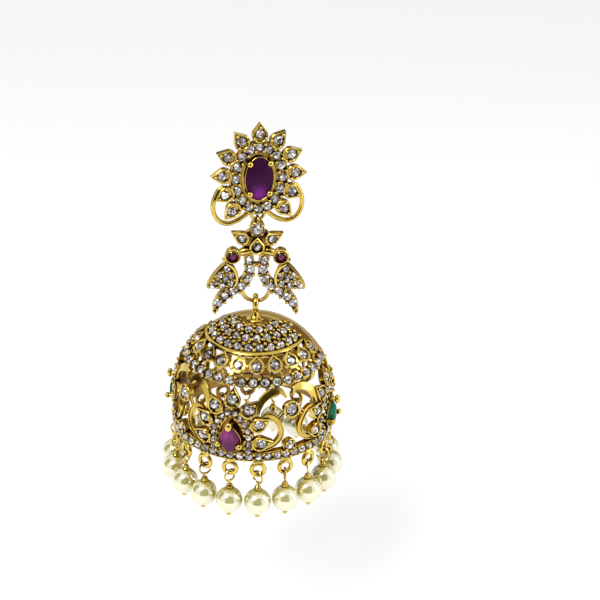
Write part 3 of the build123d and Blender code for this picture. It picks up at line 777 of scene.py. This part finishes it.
# The third number of a neck is the radius of its tube
NECK = [(0.8, -11.5, 0.4), (1.5, -11.4, 0.66), (2.2, -11.6, 0.62), (2.9, -11.9, 0.42)]
NECK_LEVEL = -0.15
LOTUS_BACK = [(-1, -8.1), (-2.2, -9.7), (-1.5, -11.6), (1.5, -11.6), (2.2, -9.7), (1, -8.1)]
BREAST_BAR = [(-0.7, -13.7, 0.45), (0, -13.8, 0.45), (0.7, -13.7, 0.45)]
# Levels of the parts' backs: each its own, so that no two back faces lie in one plane
BODY_BACK = BIRD_FRONT - BIRD_BACK
TOP_BACK, WING_BACK, EYE_BACK, LOTUS_BACK_LOW, BAR_BACK = (
    BODY_BACK + step for step in (0.03, 0.05, 0.07, 0.09, 0.13)
)
BEAK_BACK = 0.7 * BODY_BACK
WING_RIM_LEVELS, LOTUS_TOP, BEAK_TOP, BAR_TOP = (-0.2, 0.38), -0.2, 0.1, 0.05
TOP_FLOOR, TOP_HEIGHT = 0, 0.3
EYE_RINGS = [
    (0.2, EYE_BACK), (0.2, -0.1), (0, 0), (0, 0.4), (0.08, 0.5), (0.18, 0.5), (0.26, 0.15),
    (0.36, 0.15), (0.38, 0.42), (0.44, 0.48), (0.5, 0.4), (0.5, 0.1),
]
LOOP_R, LOOP_WIRE, LOOP_FROM, LOOP_TO = 2.05, 0.3, 174, 366
TOP_RING_R, TOP_RING_WIRE = 0.6, 0.2
# Painted light: where an eye gem is painted brightest
EYE_PAINTED_LIGHT = (0.1, -0.3, 0.5)
# Stones: radius and height
BIRD_CUTS = {
    "top": (0.98, 0.62), "side": (0.68, 0.58), "middle": (0.68, 0.95), "body": (0.68, 0.5),
    "wing": (0.52, 0.5), "eye": (0.72, 0.6),
}
BODY_SPIN, WING_SPIN = 17, 23  # turn from each stone of a row to the next
EYE_RUBY = dict(deep=(0.04, 0.004, 0.02), bright=(0.26, 0.018, 0.13), gloss=0.3, reach=0.8)


def on_birds(x0, z0, turn=0):
    """Stands a flat part up on the birds' plate."""
    flat = on_plate(x0, z0, BIRD_FRONT, turn)
    return lambda points: turned(flat(points), BIRD_TURN)


def side_of(points, side, steps, closed=False):
    """A smooth row through a half pattern's points, on that side."""
    out = np.array(points, float)
    out[:, 0] *= side
    return smooth(out, steps, closed)


def bird(shape, side):
    flat = on_birds(0, 0)
    shape.add(ribbon(side_of(BODY_PATH, side, 5), BODY_BACK, 0), flat)
    shape.add(plate(side_of(WING_EDGE, side, 4, True)[::side], WING_BACK, 0), flat)
    shape.add(ribbon(side_of(WING_RIM, side, 5), *WING_RIM_LEVELS), flat)
    neck = side_of(NECK, side, 5)
    shape.add(tube(raised(neck[:, :2], NECK_LEVEL), neck[:, 2], 12), flat)
    shape.add(ribbon(side_of(BEAK, side, 4), BEAK_BACK, BEAK_TOP), flat)
    shape.add(stack(circle(EYE_R, 32), EYE_RINGS), on_birds(side * BIRD_EYE[0], BIRD_EYE[1]))


def bird_beads(shape, side):
    """Small beads beside the row of stones and between the wing stones."""
    for (x0, z0), (x1, z1) in zip(BODY_STONES, BODY_STONES[1:]):
        run = hypot(x1 - x0, z1 - z0)
        for spread in (-BODY_SPREAD, BODY_SPREAD):
            x = (x0 + x1) / 2 - spread * (z1 - z0) / run
            z = (z0 + z1) / 2 + spread * (x1 - x0) / run
            claw(shape, on_birds(side * x, z), *BODY_CLAW)
    for x, z in WING_BEADS + TAIL_BEADS:
        claw(shape, on_birds(side * x, z), *WING_CLAW)


def lotus(shape):
    """The lotus: its back, three pointed petals and the round stone's setting."""
    shape.add(plate(smooth(LOTUS_BACK, 3, True), LOTUS_BACK_LOW, LOTUS_TOP), on_birds(0, 0))
    for x, z, tip in both_sides(LOTUS):
        sizes = LOTUS_SIDE if x else LOTUS_MIDDLE
        petal_cell(shape, on_birds(x, z, tip - 90), **sizes, **LOTUS_CELL)
    top = dish(circle(TOP_SETTING_R), TOP_SETTING_WALL, TOP_BACK, TOP_FLOOR, TOP_HEIGHT)
    shape.add(top, on_birds(*TOP_STONE))
    for x, z, _ in corners(4, TOP_BEAD_AT, shift=0.5):
        shape.add(bead(*TOP_BEAD), on_birds(TOP_STONE[0] + x, TOP_STONE[1] + z))


def birds_metal():
    shape = Shape()
    for side in (-1, 1):
        bird(shape, side)
        bird_beads(shape, side)
    lotus(shape)
    shape.add(ribbon(BREAST_BAR, BAR_BACK, BAR_TOP), on_birds(0, 0))
    t = np.radians(np.linspace(LOOP_FROM, LOOP_TO, 30))
    path = LOOP_R * np.stack([np.cos(t), np.zeros(len(t)), 1 + np.sin(t)], axis=1) + BIRD_PIVOT
    shape.add(tube(turned(path, BIRD_TURN), LOOP_WIRE, 12))
    centre = STUD_PIVOT + [0, 0, EYE_RING_WIRE + LOOP_PLAY + TOP_RING_WIRE - TOP_RING_R]
    shape.add(ring(centre, TOP_RING_R, TOP_RING_WIRE, (1, 0, 0)))
    return shape


def bird_gems():
    body, wing = [(on_birds(*TOP_STONE, 10), *BIRD_CUTS["top"])], []
    for x, z, tip in both_sides(LOTUS):
        body.append((on_birds(x, z, tip), *BIRD_CUTS["side" if x else "middle"]))
    for side in (-1, 1):
        for k, (x, z) in enumerate(BODY_STONES):
            body.append((on_birds(side * x, z, BODY_SPIN * k), *BIRD_CUTS["body"]))
        for k, (x, z) in enumerate(WING_STONES):
            wing.append((on_birds(side * x, z, WING_SPIN * k), *BIRD_CUTS["wing"]))
    stones("bird_body_gems", "birds", body, ["bird_body_stones"])
    stones("bird_wing_gems", "birds", wing, ["bird_wing_stones"])
    for side, name in ((-1, "left"), (1, "right")):
        place = on_birds(side * BIRD_EYE[0], BIRD_EYE[1])
        single_gem(f"bird_eye_gem_{name}", brilliant(*BIRD_CUTS["eye"]), place, EYE_PAINTED_LIGHT,
                   f"eye_ruby_{name}", EYE_RUBY, "birds", f"bird_eye_{name}")


# ---- bell ----
PEAR_W, PEAR_L, PEAR_Z, PEAR_LIFT = 2.95, 4.3, 3.72, 0.6
PEAR_TAPER, PEAR_EDGE = 0.45, 0.3
PEAR_BEZEL = dict(wall=0.12, base=-0.5, floor=PEAR_LIFT - 0.5, height=PEAR_LIFT, bevel=0.04)
# Prongs of a pear gem: azimuth, height, radius of the head, and how much taller than wide it is
PEAR_PRONGS = [(0, 6.25, 0.47, 1.45), (-7, 3.15, 0.46, 1), (7, 3.15, 0.46, 1)]
PRONG_TAPER, PRONG_FROM, PRONG_TO, PRONG_HEAD = (0.8, 0.75), -0.4, PEAR_LIFT + 0.85, PEAR_LIFT + 0.9
PEAR_SUNK = 0.35  # a pear gem's foot, below its bezel's edge
# Half of a flower arch: azimuth and height along its middle line
ARCH_PATH = [(0, 8), (6.5, 7.2), (10.6, 5.95), (12.4, 4.6), (12.9, 3.2), (12.7, 1.5)]
ARCH_WIDTH, ARCH_STEP, ARCH_SPREAD = 1.75, 1.14, 0.55
ARCH_CLAW = (0.32, 0.25)
# The sheet behind a pear gem, dark with painted shade: half its width as an azimuth, and height
WEB = [(12.6, 0.9), (12.6, 2.2), (12.3, 3.5), (11.6, 4.8), (9.4, 6), (5.4, 7.1), (1.5, 7.7)]
BELL_PETALS = [(0, 9.93, 90), (13, 8.6, 48), (20.3, 6.3, 31), (22, 3.05, 10)]
# Collets between two flowers: azimuth, height, radius, thickness of their wall
BETWEEN = [(44, 8.1, 1.32, 0.32), (42.5, 2.2, 1.04, 0.14)]
BETWEEN_FOOT = [(42.5, 1, 1.3), (42.5, 1.7, 0.9)]
BETWEEN_CLAW, BETWEEN_INSET = (0.5, 0.26), 0.26
# Grooved C-scroll beside a flower, and the crescent arches above: azimuth, height, width
C_SCROLL = [
    (22.9, 7.3, 0.3), (25.5, 7.5, 0.65), (28.8, 7.3, 0.8), (31.8, 6.8, 0.85), (35.2, 5.7, 0.88),
    (36.4, 4.4, 0.88), (34.4, 3.3, 0.85), (29.5, 2.45, 0.75), (24.5, 2.05, 0.6), (20.5, 2, 0.3),
]
CRESCENT = [
    (19.6, 7.7, 0.3), (19.6, 8.7, 0.8), (21.8, 9.75, 1.15), (26, 10.5, 1.28),
    (31.5, 10.95, 1.22), (36.5, 11, 1), (39.5, 10.5, 0.6), (41, 9.9, 0.3),
]
STRUTS = [[(32.3, 7.1), (36.9, 8.1)], [(33.6, 6.7), (38.2, 7.7)]]
STRUT_R, STRUT_LEVEL = 0.16, -0.05
# Levels of the backs of what the wall is made of: each its own, as on the birds' plate
WALL_LOW, THIN_LOW = -0.62, -0.34
PETAL_LOW, SCROLL_LOW, COLLET_LOW, CRESCENT_LOW, FOOT_LOW = (
    WALL_LOW + step for step in (0.03, 0.05, 0.07, 0.09, 0.11)
)
BETWEEN_CELL = dict(base=COLLET_LOW, floor=0.12, height=0.42, bevel=CELL_BEVEL)
CRESCENT_TOP = 0.12
BELL_PETAL = dict(radius=CELL_R, reach=1.74, base=PETAL_LOW, height=0.42, bead_r=0.26)
GROOVED = [
    (-1, SCROLL_LOW), (1, SCROLL_LOW), (1, 0.06), (0.88, 0.16), (0.62, 0.16), (0.5, 0),
    (-0.5, 0), (-0.62, 0.16), (-0.88, 0.16), (-1, 0.06),
]
# The pointed collets of the upper row, and on one half of each its foot and its side tie: a path
# of (x, y, width), and its lowest and highest level
ROW_STEP, ROW_Z, ROW_CELL_R, ROW_REACH = 18, 14.15, 1.17, 1.6
ROW_CELL = dict(wall=0.39, base=THIN_LOW, floor=0.2, height=0.46, bevel=0.08)
ROW_FEET = [
    ([(0.5, -0.95, 0.36), (0.95, -1.9, 0.36)], THIN_LOW + 0.04, 0),
    ([(0.92, 0, 0.3), (1.4, 0, 0.3)], THIN_LOW + 0.07, 0.1),
]
ROW_BEAD_AT, ROW_CLAW = (0.68, -0.74), (0.4, 0.22)
BELT_STEP, BELT_Z, BELT_SPREAD, BELT_BEAD = 10, 12.25, 0.54, 0.3
BELT_LOW, BELT_HIGH, BELT_OUT = 11.72, 12.7, 0.02
BELT_SEAT_R, BELT_SEAT = 0.86, [(0, THIN_LOW), (0, 0), (0.06, 0.06)]
# Rows of the cap: height, azimuth from stone to stone, and the first one's, in such steps
CAP_ROWS = [(15.98, 360 / 24, 0.5), (16.78, 360 / 19, 0), (17.35, 360 / 13, 0)]
CAP_SPREAD, CAP_BEAD, CAP_CLAW_UP = 0.47, 0.33, 0.86
CAP_CLAW = (0.28, 0.28)
RIM_STEP, RIM_MID, RIM_SPREAD, RIM_BEAD, RIM_LIFT = 360 / 54, 0.8, 0.5, 0.27, 0.1
RIM_AZIMUTHS = [k * RIM_STEP for k in range(54)]
ROW_BEAD_LIFT = 0.3
# Sections, as radius and height above the rim; the ridge's as height and how far it stands out
RIM_SECTION = [
    (11.3, -0.02), (12.2, -0.04), (12.32, 0.03), (12.32, 0.13), (12.15, 0.2), (12.15, 1.4),
    (12.3, 1.46), (12.32, 1.54), (12.22, 1.62), (11.9, 1.65), (11.3, 1.62),
]
RIDGE = [
    (15.15, -0.4), (15.15, 0.14), (15.22, 0.32), (15.36, 0.38), (15.5, 0.32), (15.57, 0.14),
    (15.57, -0.4),
]
CAP_HEIGHTS = [15.3, 15.6, 15.9, 16.4, 16.8, 17.1, 17.35, 17.55, 17.7, 17.79]
BACK_HEIGHTS = [12.5, 12.9, 13.4, 13.9, 14.4, 14.9, 15.4]
RIDGE_REACH = DRESSED + 1.5
# The foot and bail on the cap: (level, radius) of the foot, and the bail's wire and hole
FOOT_STEPS = [
    (0, 1.34), (0.12, 1.38), (0.22, 1.3), (0.36, 1.02), (0.52, 0.8), (0.76, 0.62), (1, 0.52),
]
FOOT_SUNK, BAIL_WIRE, BAIL_HOLE = 0.12, 0.42, 0.72
DROP_RING_R, DROP_RING_WIRE, DROP_RING_AT = 0.98, 0.34, 12.1
DROP_RING_Z = RIM_Z - 1.5
TAB_UP, TAB_REACH, TAB_R = 0.4, 0.75, 0.3
# Stones: lift off the wall, radius, height
ARCH_STONE, BELL_PETAL_STONE = (0.04, 0.46, 0.44), (0.1, 0.76, 0.52)
BETWEEN_LIFT, BETWEEN_GAP, BETWEEN_HEIGHT = 0.12, 0.14, 0.52
# Stones of a level row: lift off the wall, turn for each degree of azimuth, radius, height
ROW_STONE, BELT_STONE = (0.05, 0.9, 0.73, 0.52), (0.06, 2, 0.64, 0.5)
CAP_STONE, RIM_STONE = (0.04, 3, 0.63, 0.48), (0.16, 5, 0.56, 0.46)
PEAR_CUT = [(0.96, 0), (1, 0.35), (0.95, 0.6), (0.7, 1), (0.42, 1.12)]
# Colours of the pear gems, with painted light bright round one place and deep away from it
RUBY = dict(deep=(0.12, 0.014, 0.065), bright=(0.29, 0.052, 0.215), gloss=0.2, reach=2.7)
EMERALD = dict(deep=(0.012, 0.09, 0.044), bright=(0.02, 0.14, 0.07), gloss=0.03, reach=2.7)
# Painted light: where a pear gem is painted brightest
PEAR_PAINTED_LIGHT = (-0.6, 1, 1)
PEAR_GEMS = dict(ruby_front=RUBY, emerald_right=EMERALD, ruby_back=RUBY, emerald_left=EMERALD)


def charted(path, side=1):
    """A path of (azimuth, height, width) in the bell's flat chart."""
    return [(*chart(side * a, h), w) for a, h, w in path]


def arch_row():
    """Even places along an arch, stones and gaps by turns, and the way across."""
    half = np.array([chart(a, h) for a, h in ARCH_PATH])
    line = smooth(np.vstack([half[:0:-1] * [-1, 1], half]), 8)
    along = np.concatenate([[0], np.cumsum(np.linalg.norm(np.diff(line, axis=0), axis=1))])

    def point(at):
        return np.array([np.interp(at, along, line[:, 0]), np.interp(at, along, line[:, 1])])

    count = int(along[-1] / ARCH_STEP)
    rows = []
    for k in range(-count, count + 1):
        at = (along[-1] + k * ARCH_STEP) / 2
        ahead = unit(point(at + 0.1) - point(at))
        rows.append((*point(at), (-ahead[1], ahead[0])))
    return rows


def pear_outline(width, length, count=36):
    """A pear: an oval that tapers to a tip above."""
    t = np.arange(count) * 2 * pi / count + pi / 2
    up = np.sin(t)
    taper = 1 - PEAR_TAPER * np.maximum(up, 0) ** 1.5
    return np.stack([width / 2 * np.cos(t) * taper, length / 2 * up], axis=1)


def pear_setting(shape, turn):
    bezel = dish(pear_outline(PEAR_W + PEAR_EDGE, PEAR_L + PEAR_EDGE), **PEAR_BEZEL)
    shape.add(bezel, on_bell(turn, PEAR_Z))
    for a, h, r, tall in PEAR_PRONGS:
        stem = [(PRONG_FROM, PRONG_TAPER[0] * r), (PRONG_TO, PRONG_TAPER[1] * r)]
        prong(shape, on_bell(turn + a, h), stem, 12, r, PRONG_HEAD, tall)


def flower(shape, turn):
    """One flower: its stone-set arch, petals, scrolls and crescents."""
    flat = on_bell(turn, 0)
    half = [(a, h, ARCH_WIDTH) for a, h in ARCH_PATH]
    arch = charted(half[:0:-1], -1) + charted(half)
    shape.add(ribbon(smooth(arch, 5), WALL_LOW, 0), flat)
    for a, h, tip in both_sides(BELL_PETALS):
        petal_cell(shape, on_bell(turn + a, h, 0, tip - 90), **BELL_PETAL)
    for x, y, across in arch_row()[1::2]:
        for spread in (-ARCH_SPREAD, ARCH_SPREAD):
            claw(shape, flat, *ARCH_CLAW, x=x + spread * across[0], y=y + spread * across[1])
    for side in (-1, 1):
        shape.add(strip(smooth(charted(C_SCROLL, side), 5), GROOVED), flat)
        shape.add(ribbon(smooth(charted(CRESCENT, side), 5), CRESCENT_LOW, CRESCENT_TOP), flat)
        for rod in STRUTS:
            path = [(*chart(side * a, h), STRUT_LEVEL) for a, h in rod]
            shape.add(tube(path, STRUT_R, 8), flat)


def between(shape, turn):
    """The two collets that stand between two flowers, and the lower one's foot."""
    for a, h, r, wall in BETWEEN:
        place = on_bell(turn + a, h)
        shape.add(dish(circle(r, 26), wall, **BETWEEN_CELL), place)
        for x, y, _ in corners(4, r - BETWEEN_INSET, shift=0.5):
            claw(shape, place, *BETWEEN_CLAW, x=x, y=y)
    shape.add(ribbon(charted(BETWEEN_FOOT), FOOT_LOW, 0), on_bell(turn, 0))


def shell(heights, outer=0, inner=BELL_WALL):
    """A section of the wall between two depths."""
    return [wall_at(h, outer) for h in heights] + [wall_at(h, inner) for h in heights[::-1]]


def turned_bands(shape):
    """The rim, the belt, the cap with its ridge, and the plain wall behind."""
    shape.add(lathe(RIM_SECTION, segments=180))
    shape.add(lathe(shell(np.linspace(BELT_LOW, BELT_HIGH, 5), -BELT_OUT, -THIN_LOW)))
    shape.add(lathe([wall_at(h, -out) for h, out in RIDGE], RIDGE_REACH, 96))
    shape.add(lathe(shell(CAP_HEIGHTS)))
    shape.add(lathe(shell(BACK_HEIGHTS), 180 - RIDGE_REACH, 96, 180))


def stone_row(shape, height, places, step, spread, size, lift=0):
    """A pair of beads between each stone of a row and the next."""
    for a in places:
        for side in (-1, 1):
            claw(shape, on_bell(a + step / 2, height, lift), ROW_BEAD_LIFT, size, y=side * spread)


def azimuths(step, shift=0):
    """Azimuths of an even row over the dressed part of the bell, shift steps off the middle."""
    places = [(k + shift) * step for k in range(-20, 20)]
    return [a for a in places if abs(a) < DRESSED]


def collet_row(shape):
    """Pointed collets between the belt and the cap, on small feet."""
    for a in azimuths(ROW_STEP):
        place = on_bell(a, ROW_Z)
        shape.add(dish(teardrop(ROW_CELL_R, ROW_REACH), **ROW_CELL), place)
        for side in (-1, 1):
            for path, *levels in ROW_FEET:
                shape.add(ribbon([(side * x, y, w) for x, y, w in path], *levels), place)
            claw(shape, place, *ROW_CLAW, x=side * ROW_BEAD_AT[0], y=ROW_BEAD_AT[1])


def finial(shape):
    """The flared foot on the cap and the bail that hangs in the birds' loop."""
    bail_r = BAIL_HOLE + BAIL_WIRE
    top = BIRD_PIVOT[2] + LOOP_WIRE + LOOP_PLAY - BAIL_HOLE - bail_r
    base = SPHERE_Z + BELL_R - FOOT_SUNK
    steps = FOOT_STEPS + [(top - base + 0.1, BAIL_WIRE)]
    shape.add(tube([(0, HANG_Y, base + level) for level, _ in steps], [r for _, r in steps], 28))
    across = (cos(radians(BIRD_TURN)), sin(radians(BIRD_TURN)), 0)
    shape.add(ring((0, HANG_Y, top + bail_r), bail_r, BAIL_WIRE, across, 36, 14))


def outwards(middle):
    """The level way from the bell's axis to a place."""
    return unit(np.array([middle[0], middle[1] - HANG_Y, 0]))


def drop_rings(shape):
    """A ring under the rim for each pearl drop, soldered on with a tab."""
    for node in PEARLS:
        out = outwards(node_middle(node))
        centre = out * DROP_RING_AT + [0, HANG_Y, DROP_RING_Z]
        shape.add(ring(centre, DROP_RING_R, DROP_RING_WIRE, out, 28, 12))
        side = TAB_REACH * np.cross(out, [0, 0, 1])
        tab = centre + [0, 0, DROP_RING_R + TAB_UP]
        shape.add(tube([tab - side, tab + side], TAB_R, 8))


def bell_metal():
    shape = Shape()
    turned_bands(shape)
    collet_row(shape)
    for turn in MOTIFS:
        for part in (flower, pear_setting, between):
            part(shape, turn)
    belt = azimuths(BELT_STEP, 0.5)
    for a in belt:
        shape.add(stack(circle(BELT_SEAT_R, 20), BELT_SEAT), on_bell(a, BELT_Z))
    stone_row(shape, BELT_Z, belt, BELT_STEP, BELT_SPREAD, BELT_BEAD)
    for height, step, shift in CAP_ROWS:
        stone_row(shape, height, azimuths(step, shift), step, CAP_SPREAD, CAP_BEAD)
        for a in azimuths(step, shift):
            claw(shape, on_bell(a, height), *CAP_CLAW, y=CAP_CLAW_UP)
    stone_row(shape, RIM_MID, RIM_AZIMUTHS, RIM_STEP, RIM_SPREAD, RIM_BEAD, RIM_LIFT)
    finial(shape)
    drop_rings(shape)
    return shape


# A face of the bell's inside, which gets the gold with painted shade: farther than this from the
# axis, and turned to it
INSIDE_FROM, INSIDE_FACING = 5, -0.6


def faces_axis(face):
    """Whether a face of the bell looks inwards."""
    out = Vector((face.center.x, face.center.y - HANG_Y * MM, 0))
    facing = face.normal.dot(out.normalized())
    return out.length > INSIDE_FROM * MM and facing < INSIDE_FACING


def bell_body():
    """The bell's metal, with painted shade on its inside faces, and the sheets behind its pear
    gems, dark with painted shade.
    """
    piece = make("bell_metal", bell_metal(), GOLD, "bell", ["bell_shell"])
    # painted shade: faces turned to the bell's axis get the darker gold
    piece.data.materials.append(SHADED_INSIDE_GOLD)
    for face in piece.data.polygons:
        face.material_index = int(faces_axis(face))
    backs = Shape()
    for turn in MOTIFS:
        backs.add(web(WEB), on_bell(turn, 0))
    # painted shade: the sheets are coloured dark as the shade behind the pear gems
    make("bell_flower_shade_sheets", backs, SHADE_SHEET_GOLD, "bell")


def beside(place, x, y):
    """The place that lies x and y off another."""
    return lambda points: place(points + [x, y, 0])


def flower_stones():
    """Seats of the stones on the arches, and of those in single cells."""
    arch, cells = [], []
    for turn in MOTIFS:
        lift, *cut = ARCH_STONE
        for x, y, _ in arch_row()[::2]:
            arch.append((beside(on_bell(turn, 0, lift), x, y), *cut))
        lift, *cut = BELL_PETAL_STONE
        for a, h, tip in both_sides(BELL_PETALS):
            cells.append((on_bell(turn + a, h, lift, tip), *cut))
        for a, h, r, wall in BETWEEN:
            place = on_bell(turn + a, h, BETWEEN_LIFT)
            cells.append((place, r - wall - BETWEEN_GAP, BETWEEN_HEIGHT))
    return arch, cells


def row_seats(places, height, lift, twist, radius, tall):
    """Seats of a level row of stones, turned twist degrees for each degree of azimuth."""
    return [(on_bell(a, height, lift, twist * a), radius, tall) for a in places]


def bell_gems():
    arch, cells = flower_stones()
    row = row_seats(azimuths(ROW_STEP), ROW_Z, *ROW_STONE)
    belt = row_seats(azimuths(BELT_STEP, 0.5), BELT_Z, *BELT_STONE)
    cap = [seat for h, *step in CAP_ROWS for seat in row_seats(azimuths(*step), h, *CAP_STONE)]
    fields = {"halo": arch, "petal": cells, "row": row, "belt": belt, "cap": cap}
    for name, seats in fields.items():
        stones(f"bell_{name}_gems", "bell", seats, [f"bell_{name}_stones"])
    stones("bell_rim_gems", "bell", row_seats(RIM_AZIMUTHS, RIM_MID, *RIM_STONE))
    pear = cut_body(pear_outline(PEAR_W, PEAR_L, 14), PEAR_CUT)
    for turn, (name, colours) in zip(MOTIFS, PEAR_GEMS.items()):
        place = on_bell(turn, PEAR_Z, PEAR_LIFT - PEAR_SUNK)
        single_gem(f"bell_{name}_gem", pear, place, PEAR_PAINTED_LIGHT, f"pear_{name}", colours, "bell",
                   f"bell_{name}")


# ---- pearl drops ----
PIN_R, PIN_LOOP_R, PIN_LOOP_WIRE = 0.18, 0.95, 0.162
PIN_OPEN_FROM, PIN_OPEN_TO = -62, 250  # the open loop's run round its middle
PIN_YAWS = (35, -40, 20, 45, -25, 30, -45, 25, 40, -30, 35, -20)
PIN_BALL_R, PIN_BALL_DOWN = 0.44, 0.25
NECK_FROM, NECK_SUNK = 0.85, 0.2  # from the loop's middle, in its radii; into the pearl
# The coil round a pin's neck: turns, steps a turn, wire, radii, and shares of the neck's length
WRAPS, WRAP_STEPS, WRAP_WIRE = 3, 12, 0.13
WRAP_R, WRAP_SWELL, WRAP_FROM, WRAP_SHARE = 0.24, 0.3, 0.45, 0.52
PEARL_SWELL = 0.006  # unevenness of a pearl, as a share of its radius


def head_pin(k, pearl_at):
    """A head pin: an open loop, a wrapped neck, and the ball under the pearl."""
    out = outwards(pearl_at)
    loop_z = DROP_RING_Z - DROP_RING_R + DROP_RING_WIRE + LOOP_PLAY + PIN_R - PIN_LOOP_R
    loop = out * DROP_RING_AT + [0, HANG_Y, loop_z]
    down = unit(pearl_at - loop)
    across = np.cross(out, [0, 0, 1])
    side = np.cross(across, down)
    yaw = radians(PIN_YAWS[k % len(PIN_YAWS)])
    flat = side * cos(yaw) + across * sin(yaw)
    shape = Shape()
    t = np.radians(np.linspace(PIN_OPEN_FROM, PIN_OPEN_TO, 26))
    path = loop + PIN_LOOP_R * (np.outer(np.sin(t), flat) - np.outer(np.cos(t), down))
    shape.add(tube(path, PIN_LOOP_WIRE, 8))
    neck = loop + down * (NECK_FROM * PIN_LOOP_R)
    top = pearl_at - down * PEARL_R
    shape.add(tube([neck, top + down * NECK_SUNK], PIN_R, 8))
    shape.add(tube(coil(neck, top, across, side), WRAP_WIRE, 6))
    points, faces = ball(PIN_BALL_R, 12, 8)
    shape.add((points + pearl_at + down * (PEARL_R + PIN_BALL_DOWN), faces))
    return shape


def coil(neck, top, across, side):
    """The path of the wire wrapped round a pin's neck, which widens to the pearl."""
    path = []
    for i in range(WRAPS * WRAP_STEPS + 1):
        a = 2 * pi * i / WRAP_STEPS
        level = i / (WRAPS * WRAP_STEPS)
        middle = neck + (top - neck) * (WRAP_FROM + WRAP_SHARE * level)
        out = cos(a) * across + sin(a) * side
        path.append(middle + (WRAP_R + WRAP_SWELL * level) * out)
    return path


def drops():
    for k, node in enumerate(PEARLS):
        middle = node_middle(node)
        points, faces = ball(PEARL_R, 48, 32)
        swell = PEARL_SWELL * np.sin(points[:, :1] * 1.7 + k) * np.cos(points[:, 2:] * 1.3 + 2 * k)
        shape = Shape().add((points * (1 + swell) + middle, faces))
        make(f"{node}_nacre", shape, PEARL, "bell", [node])
        pin = node.replace("pearl", "head_pin")
        make(f"{pin}_wire", head_pin(k, middle), GOLD, "bell", [pin])


# ---- floor, light and camera ----
AIM = (0, 0, -0.02)
FLOOR_HALF, FLOOR_DOWN = 3, 0.03
# Cards that show in polished surfaces, in metres: centre, aim, width, height, colour
CARDS = {
    "dark_card": ((-0.025, -0.13, 0.022), AIM, 0.2, 0.17, (0.06, 0.05, 0.035)),
    "side_card": ((-0.14, 0.05, 0.02), AIM, 0.1, 0.16, (0.05, 0.035, 0.025)),
    "brown_card": ((0.14, 0.28, 0.17), AIM, 0.42, 0.17, (0.2, 0.14, 0.08)),
    "low_card": ((0.25, 0.26, 0.02), AIM, 0.2, 0.14, (0.22, 0.16, 0.1)),
    "far_card": ((0.08, 0.35, -0.005), AIM, 0.6, 0.13, (0.42, 0.33, 0.2)),
    "low_back_card": ((0.12, 0.17, -0.076), (0.12, 0.17, 0.1), 0.3, 0.22, (0.5, 0.4, 0.25)),
}
# Soft lamps: centre, width and height, power
LAMPS = {
    "key": ((-0.25, -0.22, 0.35), (0.2, 0.2), 1.2),
    "fill": ((0.38, -0.12, 0.12), (0.1, 0.35), 0.5),
}
ROOM_LIGHT = 0.88
CAMERA_AT = (-40.35, -182.64, 73.12)
CAMERA_HEADING, CAMERA_PITCH, CAMERA_ROLL = 14.55, 26.43, 2.21
CAMERA_LENS, CAMERA_SENSOR = 83.1, 36


def sheet(name, w, h):
    """A flat rectangle, from its half width and half height."""
    mesh = bpy.data.meshes.new(name)
    mesh.from_pydata([(-w, -h, 0), (w, -h, 0), (w, h, 0), (-w, h, 0)], [], [(0, 1, 2, 3)])
    return mesh


def card(name, centre, aim, width, height, colour):
    """A coloured card that shows in polished surfaces alone."""
    mesh = sheet(name, width / 2, height / 2)
    piece = stand(name, mesh, centre, aim)
    look = Look(name)
    look.nodes.remove(look.shader)
    glow = look.node("Emission", {"Color": (*colour, 1), "Strength": 1})["Emission"]
    look.feed(look.nodes["Material Output"], {"Surface": glow})
    mesh.materials.append(look.material)
    for rays in ("camera", "shadow", "diffuse"):
        setattr(piece, "visible_" + rays, False)


def stage():
    """The pale floor, under the lowest pearl."""
    mesh = sheet("floor", FLOOR_HALF, FLOOR_HALF)
    floor = stand("floor", mesh, (0, 0, cad_box[0][2] - FLOOR_DOWN))
    look = Look("pale_floor")
    look.dress(Base_Color=(0.93, 0.93, 0.93, 1), Roughness=0.8)
    mesh.materials.append(look.material)


def lights():
    world = bpy.data.worlds.new("soft_room")
    bpy.context.scene.world = world
    world.use_nodes = True
    background = world.node_tree.nodes["Background"]
    background.inputs["Color"].default_value = (*WHITE, 1)
    background.inputs["Strength"].default_value = ROOM_LIGHT
    for name, (centre, size, power) in LAMPS.items():
        light = bpy.data.lights.new(name, "AREA")
        light.shape = "RECTANGLE"
        light.size, light.size_y = size
        light.energy = power
        stand(name, light, centre, AIM, "-Z")
    for name, row in CARDS.items():
        card(name, *row)


def camera():
    data = bpy.data.cameras.new("camera")
    data.lens, data.sensor_width = CAMERA_LENS, CAMERA_SENSOR
    data.clip_start, data.clip_end = 0.01, 20
    cam = stand("camera", data)
    heading, pitch = radians(CAMERA_HEADING), radians(CAMERA_PITCH)
    level = cos(pitch)
    ahead = Vector((sin(heading) * level, cos(heading) * level, -sin(pitch)))
    turn = ahead.to_track_quat("-Z", "Y").to_matrix().to_4x4()
    roll = Matrix.Rotation(radians(CAMERA_ROLL), 4, "Z")
    cam.matrix_world = Matrix.Translation(Vector(CAMERA_AT) * MM) @ turn @ roll
    bpy.context.scene.camera = cam


def main():
    make("stud_metal", stud_metal(), GOLD, "stud", ["stud_frame"])
    stud_gems()
    make("birds_metal", birds_metal(), BIRD_GOLD, "birds", ["bird_frame"])
    bird_gems()
    bell_body()
    bell_gems()
    drops()
    stage()
    lights()
    camera()
    bpy.context.scene.view_settings.view_transform = "Standard"
    bpy.context.view_layer.update()


main()
